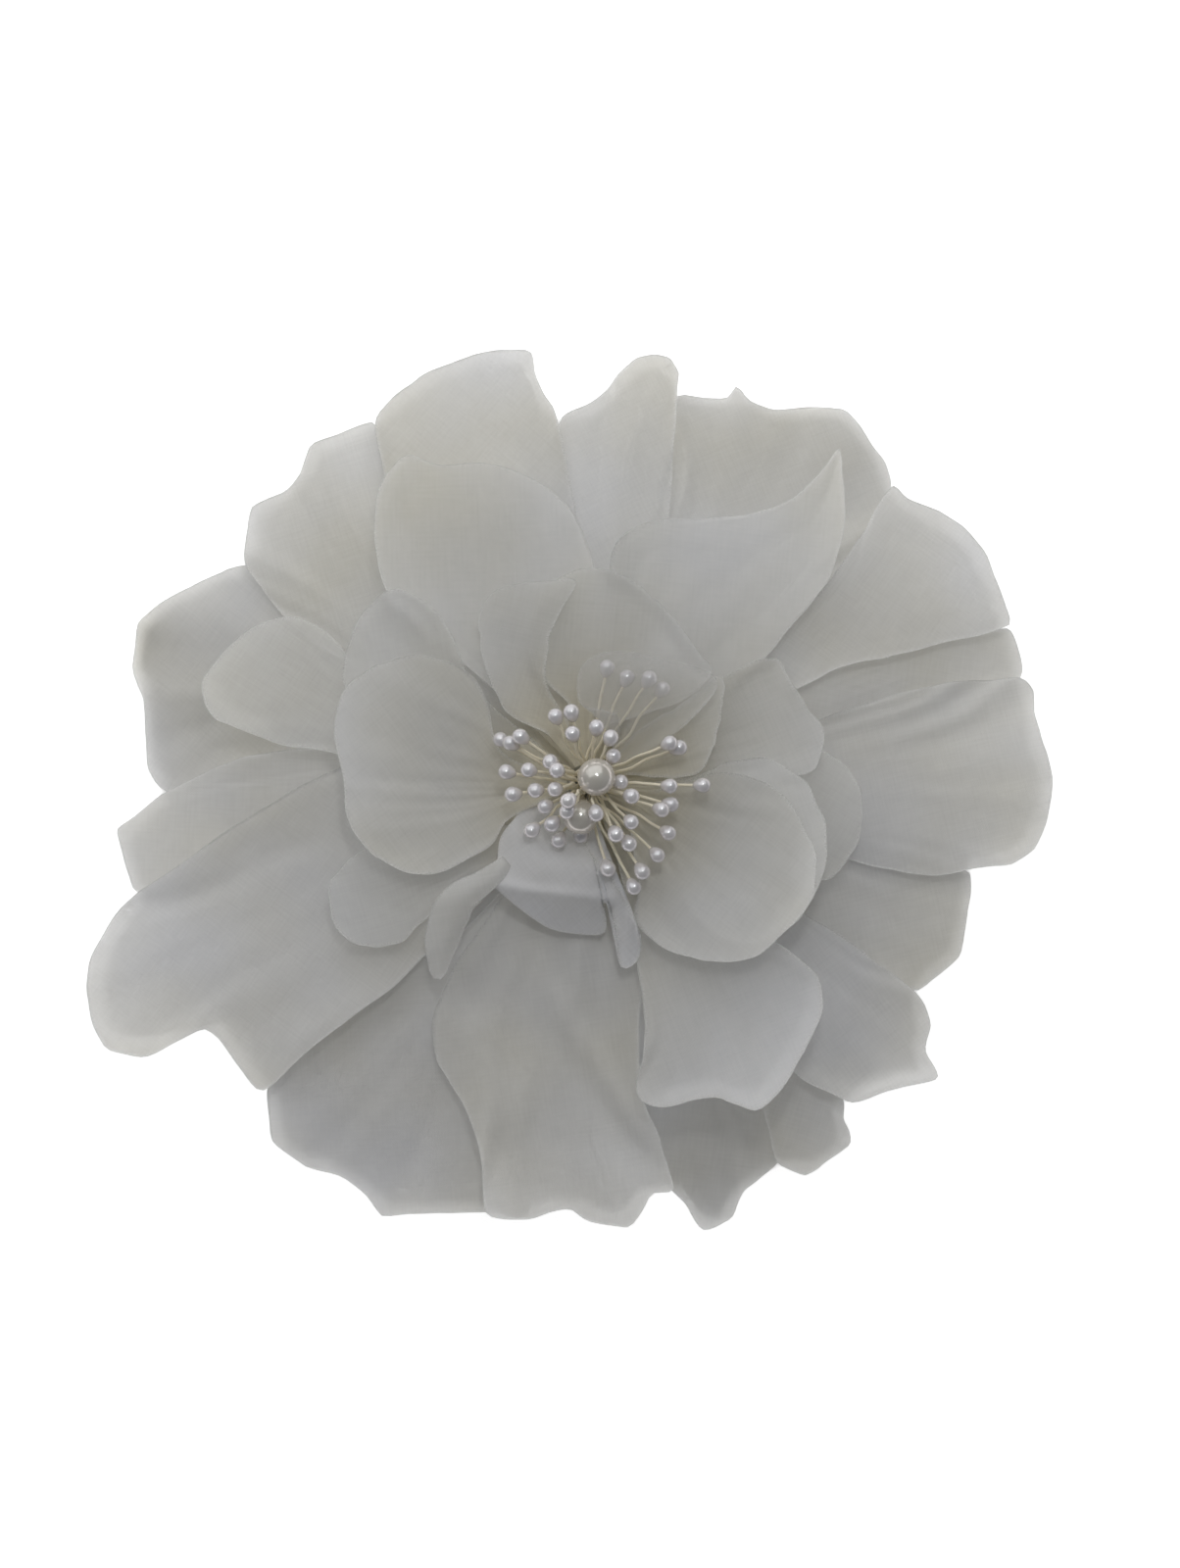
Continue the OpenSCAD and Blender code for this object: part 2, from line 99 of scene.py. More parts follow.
def smooth(t):
    """From 0 to 1 as t does, with no corner at either end."""
    t = np.clip(t, 0, 1)
    return t * t * (3 - 2 * t)


# ---- Materials --------------------------------------------------------------


class Nodes:
    """A short way to write a node tree."""

    def __init__(self, name):
        self.mat = bpy.data.materials.new(name)
        self.mat.use_nodes = True
        self.tree = self.mat.node_tree
        self.tree.nodes.clear()
        self.out = self.tree.nodes.new("ShaderNodeOutputMaterial")

    def add(self, kind, inputs=None, **settings):
        n = self.tree.nodes.new("ShaderNode" + kind)
        for k, v in settings.items():
            setattr(n, k, v)
        for k, v in (inputs or {}).items():
            if hasattr(v, "is_output"):
                self.tree.links.new(v, n.inputs[k])
            else:
                n.inputs[k].default_value = v
        return n

    def link(self, a, b):
        self.tree.links.new(a, b)

    def math(self, op, a, b=0.0):
        if op == "SCALE_ADD":  # b is (times, plus)
            op, (b, c) = "MULTIPLY_ADD", b
            return self.add("Math", {0: a, 1: b, 2: c}, operation=op).outputs[0]
        return self.add("Math", {0: a, 1: b}, operation=op).outputs[0]

    def mix(self, fac, a, b):
        n = self.add("Mix", data_type="RGBA")
        for socket, v in (("Factor_Float", fac), ("A_Color", a), ("B_Color", b)):
            s = next(i for i in n.inputs if i.identifier == socket)
            if hasattr(v, "is_output"):
                self.link(v, s)
            else:
                s.default_value = v
        return next(o for o in n.outputs if o.identifier == "Result_Color")

    def noise(self, at, scale, detail, rough=0.5, twist=0.0, **settings):
        inputs = {"Vector": at, "Scale": scale, "Detail": detail}
        inputs.update({"Roughness": rough, "Distortion": twist})
        return self.add("TexNoise", inputs, **settings).outputs["Fac"]


def rgba(c, k=1.0):
    return (c[0] * k, c[1] * k, c[2] * k, 1.0)


def tinted(c, tint):
    return tuple(p * q for p, q in zip(c, tint))


WEAVE = 0.27 * MM  # pitch of the organza's threads
SLUB = (2600, 130)  # uneven places a metre: across a thread, and along it
WARM, COOL = (0.975, 0.96, 0.9), (1.02, 1.03, 1.075)  # tints of its patches
FRAYED = (0.95, 0.95, 0.94)  # its cut edge
LEAST_COVER = 0.12


def organza(name, colour, cover, glow):
    """Sheer woven organza: see-through between threads, with a soft sheen."""
    n = Nodes(name)
    uv = n.add("UVMap", uv_map="flat").outputs[0]
    xyz = n.add("SeparateXYZ", {0: uv})
    turns = 2 * math.pi / WEAVE
    warp = n.math("SINE", n.math("MULTIPLY", xyz.outputs[0], turns))
    weft = n.math("SINE", n.math("MULTIPLY", xyz.outputs[1], turns))
    weave = n.math("MULTIPLY", warp, weft)
    flat = {"noise_dimensions": "2D"}
    slub = []
    for scale in ((*SLUB, 1), (*SLUB[::-1], 1)):
        at = n.add("Mapping", {"Vector": uv, "Scale": scale}).outputs[0]
        slub.append(n.noise(at, 1.0, 2.0, 0.6, **flat))
    threads = n.math("ADD", n.math("ADD", slub[0], slub[1]), -1.0)
    cloud = n.noise(uv, 70.0, 5.0, 0.65, **flat)
    fuzz = n.noise(uv, 5200.0, 2.0, 0.7, **flat)
    patch = n.noise(uv, 28.0, 2.0, 0.5, **flat)
    patch = n.add("MapRange", {"Value": patch, "From Min": 0.3, "From Max": 0.7})
    rim = n.add("Attribute", attribute_name="rim").outputs["Fac"]
    deep = n.add("Attribute", attribute_name="deep").outputs["Fac"]
    warm, cool = rgba(tinted(colour, WARM)), rgba(tinted(colour, COOL))
    base = n.mix(patch.outputs["Result"], warm, cool)
    base = n.mix(n.math("SCALE_ADD", cloud, (0.5, 0.0)), base, rgba(colour, 1.08))
    base = n.mix(n.math("SCALE_ADD", threads, (0.4, 0.1)), base, rgba(colour, 0.85))
    base = n.mix(n.math("MULTIPLY", deep, 0.9), base, rgba(CREAM))
    base = n.mix(n.math("MULTIPLY", rim, 0.7), base, rgba(FRAYED))
    height = n.math("MULTIPLY", threads, 0.9)
    height = n.math("ADD", n.math("MULTIPLY", weave, 0.5), height)
    frays = n.math("MULTIPLY", n.math("MULTIPLY", fuzz, rim), 2.0)
    height = n.math("ADD", height, frays)
    bump = n.add("Bump", {"Height": height, "Strength": 0.4, "Distance": 0.00006})
    cloth = n.add(
        "BsdfPrincipled",
        {
            "Base Color": base,
            "Roughness": 0.62,
            "Specular IOR Level": 0.25,
            "Sheen Weight": 0.2,
            "Sheen Roughness": 0.45,
            "Normal": bump.outputs[0],
        },
    )
    through = n.add("BsdfTranslucent", {"Color": base, "Normal": bump.outputs[0]})
    body = n.add("MixShader", {0: glow, 1: cloth.outputs[0], 2: through.outputs[0]})
    clear = n.add("BsdfTransparent", {"Color": (1, 1, 1, 1)})
    lid = n.math("SCALE_ADD", weave, (-0.06 * cover, cover))
    lid = n.math("ADD", lid, n.math("MULTIPLY", threads, 0.16 * cover))
    lid = n.math("ADD", lid, n.math("SCALE_ADD", cloud, (0.2 * cover, -0.1 * cover)))
    frayed = n.math("SCALE_ADD", fuzz, (0.8, -0.42))
    lid = n.math("ADD", lid, n.math("MULTIPLY", rim, frayed))
    lid = n.add("Clamp", {"Value": lid, "Min": LEAST_COVER, "Max": 1.0}).outputs[0]
    both = n.add("MixShader", {0: lid, 1: clear.outputs[0], 2: body.outputs[0]})
    n.link(both.outputs[0], n.out.inputs[0])
    return n.mat


def simple(name, colour, rough, bump_scale, bump_depth, colour2, metal=0.0,
           sheen=0.0, spec=0.5, stretch=None):
    """A Principled material with a mottled colour and a fine bump."""
    n = Nodes(name)
    at = n.add("TexCoord").outputs["Object"]
    if stretch:
        at = n.add("Mapping", {"Vector": at, "Scale": stretch}).outputs[0]
    grain = n.noise(at, bump_scale, 4.0, 0.6)
    patch = n.noise(at, bump_scale * 0.13, 3.0)
    base = n.mix(patch, rgba(colour), rgba(colour2))
    base = n.mix(n.math("MULTIPLY", grain, 0.3), base, rgba(colour, 0.72))
    bump = n.add("Bump", {"Height": grain, "Strength": 0.6, "Distance": bump_depth})
    wear = n.add(
        "MapRange",
        {"Value": grain, "To Min": max(rough - 0.09, 0.02), "To Max": rough + 0.09},
    )
    shader = n.add(
        "BsdfPrincipled",
        {
            "Base Color": base,
            "Roughness": wear.outputs[0],
            "Metallic": metal,
            "Specular IOR Level": spec,
            "Sheen Weight": sheen,
            "Normal": bump.outputs[0],
        },
    )
    n.link(shader.outputs[0], n.out.inputs[0])
    return n.mat


def pearl_lacquer(name, colour, colour2, rough, metal):
    """Faux pearl: nacre lacquer with a thin film over a milky body."""
    n = Nodes(name)
    at = n.add("TexCoord").outputs["Object"]
    swirl = n.noise(at, 420.0, 3.0, twist=0.6)
    base = n.mix(swirl, rgba(colour), rgba(colour2))
    grain = n.noise(at, 7000.0, 2.0)
    bump = n.add("Bump", {"Height": grain, "Strength": 0.15, "Distance": 0.00002})
    shader = n.add(
        "BsdfPrincipled",
        {
            "Base Color": base,
            "Roughness": rough,
            "Metallic": metal,
            "Specular IOR Level": 0.6,
            "Coat Weight": 0.7,
            "Coat Roughness": 0.16,
            "Sheen Weight": 0.15,
            "Thin Film Thickness": 330.0,
            "Thin Film IOR": 1.42,
            "Normal": bump.outputs[0],
        },
    )
    n.link(shader.outputs[0], n.out.inputs[0])
    return n.mat


# The outer petals' copy of the cloth is darker than the middle and inner copies: painted
# shade that evens out the extra light the outer ring gets from the glowing floor.
OUTER_IVORY_SHADED = (0.845, 0.842, 0.823)
CREAM = (0.86, 0.82, 0.69)
ORGANZA = {
    "outer": organza("organza_outer", OUTER_IVORY_SHADED, 0.70, 0.44),
    "middle": organza("organza_middle", (0.87, 0.868, 0.85), 0.52, 0.5),
    "inner": organza("organza_inner", (0.88, 0.879, 0.863), 0.56, 0.5),
    "veil": organza("organza_veil", (0.87, 0.868, 0.85), 0.38, 0.52),
    # a lighter, bluer copy of the cloth for the folded petal: painted light standing in
    # for the light the stamens keep off it and for its upturned face
    "folded": organza("organza_folded_painted_light", (0.93, 0.935, 0.95), 0.80, 0.44),
    "sheer": organza("organza_sheer", (0.78, 0.777, 0.755), 0.25, 0.4),
}
PEARL = pearl_lacquer(
    "pearl_lacquer", (0.64, 0.60, 0.51), (0.72, 0.70, 0.65), 0.17, 0.35)
HEAD = pearl_lacquer(
    "stamen_head", (0.76, 0.76, 0.80), (0.84, 0.81, 0.79), 0.16, 0.35)
THREAD = simple("stamen_thread", (0.93, 0.87, 0.71), 0.5, 5000, 0.00003,
                (0.86, 0.79, 0.61))
WOUND = simple("binding_thread", (0.74, 0.69, 0.56), 0.8, 6000, 0.00005,
               (0.52, 0.46, 0.34), sheen=0.3, stretch=(0.3, 0.3, 3))
FELT = simple("felt", (0.70, 0.69, 0.64), 0.95, 2600, 0.00015,
              (0.62, 0.61, 0.56), sheen=0.6, spec=0.1)
STEEL = simple("nickel_steel", (0.66, 0.65, 0.62), 0.26, 900, 0.00001,
               (0.58, 0.57, 0.55), metal=1.0, stretch=(0.15, 6, 6))
SPRING = simple("spring_wire", (0.50, 0.50, 0.50), 0.32, 3000, 0.00001,
                (0.42, 0.41, 0.40), metal=1.0)

# ---- Mesh helpers -----------------------------------------------------------


def mesh_object(name, points, faces, material):
    mesh = bpy.data.meshes.new(name)
    mesh.from_pydata([tuple(p) for p in points], [], faces)
    mesh.update()
    mesh.polygons.foreach_set("use_smooth", [True] * len(mesh.polygons))
    mesh.materials.append(material)
    obj = bpy.data.objects.new(name, mesh)
    bpy.context.scene.collection.objects.link(obj)
    return obj


def shares(line):
    """How far along a line each of its points is."""
    step = np.linalg.norm(np.diff(line, axis=0), axis=1)
    return np.concatenate([[0], np.cumsum(step)])


def unit_rows(v):
    return v / np.linalg.norm(v, axis=1)[:, None]


def spline(points, n, sharp=0.0):
    """n points evenly spaced on a curve through the given ones, with its
    corners kept as far as sharp says."""
    p = np.array(points, float)
    ext = np.vstack([2 * p[0] - p[1], p, 2 * p[-1] - p[-2]])
    out = []
    for k in range(1, len(ext) - 2):
        a, b, c, d = ext[k - 1], ext[k], ext[k + 1], ext[k + 2]
        t = np.linspace(0, 1, 13)[:-1, None]
        curve = 0.5 * (
            2 * b
            + (c - a) * t
            + (2 * a - 5 * b + 4 * c - d) * t**2
            + (3 * b - a - 3 * c + d) * t**3
        )
        out.append((1 - sharp) * curve + sharp * (b + (c - b) * t))
    line = np.vstack(out + [p[-1:]])
    far = shares(line)
    at = np.linspace(0, far[-1], n)
    return np.stack([np.interp(at, far, v) for v in line.T], 1)


# ---- The stack of petals ----------------------------------------------------
# Millimetres from here to the spring. Each petal lies on a bowl that fits its
# level, with its own folds, and is then lifted clear of the petals below it.

FELT_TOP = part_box("base_felt")[1].z / MM
FELT_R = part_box("base_felt")[1].x / MM
FLOOR_Z = CAD_LOW.z / MM
ROOT_R = 3.3  # where the petals start, round the bound stems
THICK = 0.12  # of the organza
CLEAR = 0.16  # between one petal and the next
CLIP_X, CLIP_Y = (-29.5, 32), 5.2  # the clip, with a little room round it

# a map of how high the stack is so far
CELL = 0.5
HALF = 96.0
SIDE = int(2 * HALF / CELL)
EMPTY = -1e3
heights = np.full((SIDE, SIDE), EMPTY)
middles = (np.arange(SIDE) + 0.5) * CELL - HALF
gx, gy = np.meshgrid(middles, middles, indexing="ij")
heights[np.hypot(gx, gy) < FELT_R + 0.5] = FELT_TOP
heights[(np.abs(gy) < CLIP_Y) & (gx > CLIP_X[0]) & (gx < CLIP_X[1])] = FELT_TOP

# the CAD's nested bowls: those from level 7 up cup, and those below it sag
CUPPED = 7
SAG_R, SAG_SPAN = 22.5, 52.5
WAVE_TURN = math.radians(49)


def level_height(level, r, a):
    """Height of a level's bowl at a radius and an angle."""
    down = up = 0
    if level < CUPPED:
        down = -14 * (1 - level * 0.135)
    else:
        up = level - 6 if level < 11 else 6 + 1.5 * (level - 11)
    beyond = np.clip((r - SAG_R) / SAG_SPAN, 0, None)
    bowl = down * beyond ** 1.5 + up * np.clip((r - 3.2) / 35, 0, None) ** 1.6
    turn = a - WAVE_TURN
    wave = -(beyond ** 2) * (0.9 * np.cos(3 * turn) + 0.7 * np.cos(6 * turn))
    return FELT_TOP + 0.3 + 0.4 * level + bowl + wave


def cells(x, y):
    """The cell of the map that each point is over."""
    i = np.clip(((x + HALF) / CELL).astype(int), 0, SIDE - 1)
    j = np.clip(((y + HALF) / CELL).astype(int), 0, SIDE - 1)
    return i, j


def neighbours(m):
    p = np.pad(m, 1, mode="edge")
    return [p[:-2, 1:-1], p[2:, 1:-1], p[1:-1, :-2], p[1:-1, 2:]]


def relax(need, passes):
    """A smooth sheet that is nowhere lower than it needs to be."""
    lift = need.copy()
    for _ in range(passes):
        lift = np.maximum(need, sum(neighbours(lift)) / 4)
    return lift


def settle(x, y, z, passes=90):
    """Lifts a sheet clear of what is already in the stack, then adds it."""
    i, j = cells(x, y)
    below = np.max([heights] + neighbours(heights), 0)[i, j]
    need = np.maximum(below + CLEAR + THICK - z, 0)
    z = z + relax(need, passes)
    # the sheet's own top, read at twice its points
    more = [np.concatenate([v[:-1], (v[:-1] + v[1:]) / 2]) for v in (x, y, z)]
    more = [np.concatenate([v[:, :-1], (v[:, :-1] + v[:, 1:]) / 2], 1) for v in more]
    i, j = cells(more[0].ravel(), more[1].ravel())
    np.maximum.at(heights, (i, j), more[2].ravel())
    return z


def crease(x, y, line, size, width, side=0.0):
    """A ridge (or a valley) along a line, or with side a step across it."""
    (x0, y0), (x1, y1) = line
    dx, dy = x1 - x0, y1 - y0
    length = math.hypot(dx, dy)
    t = ((x - x0) * dx + (y - y0) * dy) / length**2
    d = ((x - x0) * dy - (y - y0) * dx) / length
    ends = smooth(t / 0.25) * smooth((1 - t) / 0.25)
    shape = np.exp(-((d / width) ** 2))
    if side:
        shape = shape * (1 + side * np.tanh(d / width))
    return size * shape * ends


def along(line, t):
    """Points at the shares t of a line's length."""
    far = shares(line)
    return np.stack([np.interp(t * far[-1], far, v) for v in line.T], 1)


PASSES = 1300  # at most, for a grid to come to rest
AT_REST = 5e-4
DAMPING = 0.9


def fill_grid(root, tip, side_a, side_b, u, s):
    """A smooth grid between the four edges of a petal."""
    U, S = u[None, :, None], s[:, None, None]
    p = (
        (1 - S) * side_a[None] + S * side_b[None]
        + (1 - U) * root[:, None] + U * tip[:, None]
        - (1 - S) * (1 - U) * root[0] - S * (1 - U) * root[-1]
        - (1 - S) * U * tip[0] - S * U * tip[-1]
    )
    for _ in range(PASSES):  # an inverse harmonic map, which seldom folds
        du = (p[1:-1, 2:] - p[1:-1, :-2]) / 2
        ds = (p[2:, 1:-1] - p[:-2, 1:-1]) / 2
        both = (p[2:, 2:] - p[:-2, 2:] - p[2:, :-2] + p[:-2, :-2]) / 4
        A = (ds ** 2).sum(-1, keepdims=True) + 1e-6
        B = (du * ds).sum(-1, keepdims=True)
        C = (du ** 2).sum(-1, keepdims=True) + 1e-6
        new = A * (p[1:-1, 2:] + p[1:-1, :-2]) + C * (p[2:, 1:-1] + p[:-2, 1:-1])
        new = (new - 2 * B * both) / (2 * (A + C))
        change = DAMPING * (new - p[1:-1, 1:-1])
        p[1:-1, 1:-1] += change
        if np.abs(change).max() < AT_REST:
            break
    return p[..., 0], p[..., 1]


def edge_distance(x, y, edge):
    """Distance of each point to an edge, and how far along the edge it is."""
    fine = np.linspace(0, len(edge) - 1, 4 * len(edge))
    line = np.stack([np.interp(fine, np.arange(len(edge)), v) for v in edge.T], 1)
    d = np.hypot(x.ravel()[:, None] - line[:, 0], y.ravel()[:, None] - line[:, 1])
    k = d.argmin(1)
    return d.min(1).reshape(x.shape), (fine[k] / fine[-1]).reshape(x.shape)


EDGE_POINTS = 161  # along a petal's outline
ROWS, COLUMNS = 34, 64  # of its grid, out from the root and across
SHARP = {"outer": 0.55, "middle": 0.2, "inner": 0.0}  # corners in a cut edge
TIP_SHARE = 0.7  # the tip edge is where the outline first gets this far out
ROOT_SHARE = 0.12  # of the petal's turn, left free on each side of its root
ROW_SPREAD = 1.4  # over 1, rows are closer near the cut edge, where it curls
PLEAT, PLEATS = 0.12, 4


def petal_sheet(name, level, outline, seed, look):
    """Points of one petal: a grid from its root out to its cut edge."""
    edge = spline(outline, EDGE_POINTS, SHARP[name.split("_")[1]])
    far = np.hypot(edge[:, 0], edge[:, 1])
    # a cut edge is never quite smooth
    t = np.linspace(0, 1, EDGE_POINTS)
    ring = noise1(t * 26, seed + 1) + noise1(t * 61, seed + 2) * 0.4
    ring = look.get("rough", 0.25) * ring * smooth(far / 30)
    ahead = unit_rows(np.gradient(edge, axis=0))
    edge = edge + np.stack([ahead[:, 1], -ahead[:, 0]], 1) * ring[:, None]
    is_tip = far > TIP_SHARE * far.max()
    left = int(np.argmax(is_tip))
    right = EDGE_POINTS - 1 - int(np.argmax(is_tip[::-1]))
    first = math.atan2(edge[0][1], edge[0][0])
    last = math.atan2(edge[-1][1], edge[-1][0])
    turn = (last - first + math.pi) % (2 * math.pi) - math.pi
    u = np.linspace(0, 1, ROWS + 1) ** 0.9
    s = np.linspace(0, 1, COLUMNS + 1)
    a = first + turn * (ROOT_SHARE + (1 - 2 * ROOT_SHARE) * s)
    root = ROOT_R * np.stack([np.cos(a), np.sin(a)], 1)
    side_a = along(np.vstack([root[:1], edge[:left + 1]]), u)
    side_b = along(np.vstack([root[-1:], edge[right:][::-1]]), u)
    tip = along(edge[left:right + 1], s)
    x, y = fill_grid(root, tip, side_a, side_b, u, s)
    u = 1 - (1 - np.linspace(0, 1, ROWS + 1)) ** ROW_SPREAD
    lines = np.stack([along(np.stack(c, 1), u) for c in zip(x, y)])
    x, y = lines[..., 0], lines[..., 1]
    r, a = np.hypot(x, y), np.arctan2(y, x)
    z = level_height(level, r, a)
    uu, ss = np.broadcast_to(u, x.shape), np.broadcast_to(s[:, None], x.shape)
    # folds are shallower where the petal is narrow
    wide = np.hypot(x[-1] - x[0], y[-1] - y[0])
    wide = smooth(np.maximum(wide, 0.4 * wide.max()) / 32)[None, :]
    # how far each point is from the cut edge, and which part of it is nearest
    out, near = edge_distance(x, y, edge)
    # cupping across the petal
    z = z + look["cup"] * (2 * ss - 1) ** 2 * smooth(uu * 1.3)
    # gathers that fan out of the root and fade
    phase = noise1(ss * 3 + 0.5, seed + 3) * 1.5
    gathers = PLEAT * np.sin(2 * math.pi * (ss * PLEATS + phase))
    z = z + gathers * smooth(uu / 0.35) * smooth((1.15 - uu) / 0.7) * wide
    # ruffles that grow towards the edge
    waves = ss * look.get("waves", 6)
    ruffle = noise1(waves + 0.3, seed + 4) + 0.45 * noise1(waves * 2.3, seed + 5)
    ruffle = 0.65 * look["ruffle"] * ruffle
    z = z + ruffle * smooth((uu - 0.4) / 0.6) ** 1.5 * wide
    # large soft unevenness, and the fine crumple of starched silk
    z = z + 0.5 * noise2(x / 13 + seed, y / 13, seed + 6) * smooth(uu * 2)
    z = z + 0.14 * noise2(a * 14 + seed, r / 11, seed + 7)
    z = z + 0.05 * noise2(x / 1.9, y / 1.9, seed + 8)
    for line, size, width, *side in look.get("creases", ()):
        z = z + crease(x, y, line, size, width, *(side or [0.0]))
    for s0, s1, width, height, *fade in look.get("curls", ()):
        fade = fade[0] if fade else 0.12
        part = smooth((near - s0) / fade) * smooth((s1 - near) / fade)
        z = z + height * part * smooth(1 - out / width) ** 1.4
    for s0, s1, size in look.get("bends", ()):
        middle, half = (s0 + s1) / 2, (s1 - s0) / 2
        z = z + size * np.exp(-(((ss - middle) / half) ** 2)) * uu**2
    z = z + look.get("lip", 0.0) * smooth(1 - out / 2.2)
    return x, y, np.maximum(z, FLOOR_Z + 0.4 + THICK), out


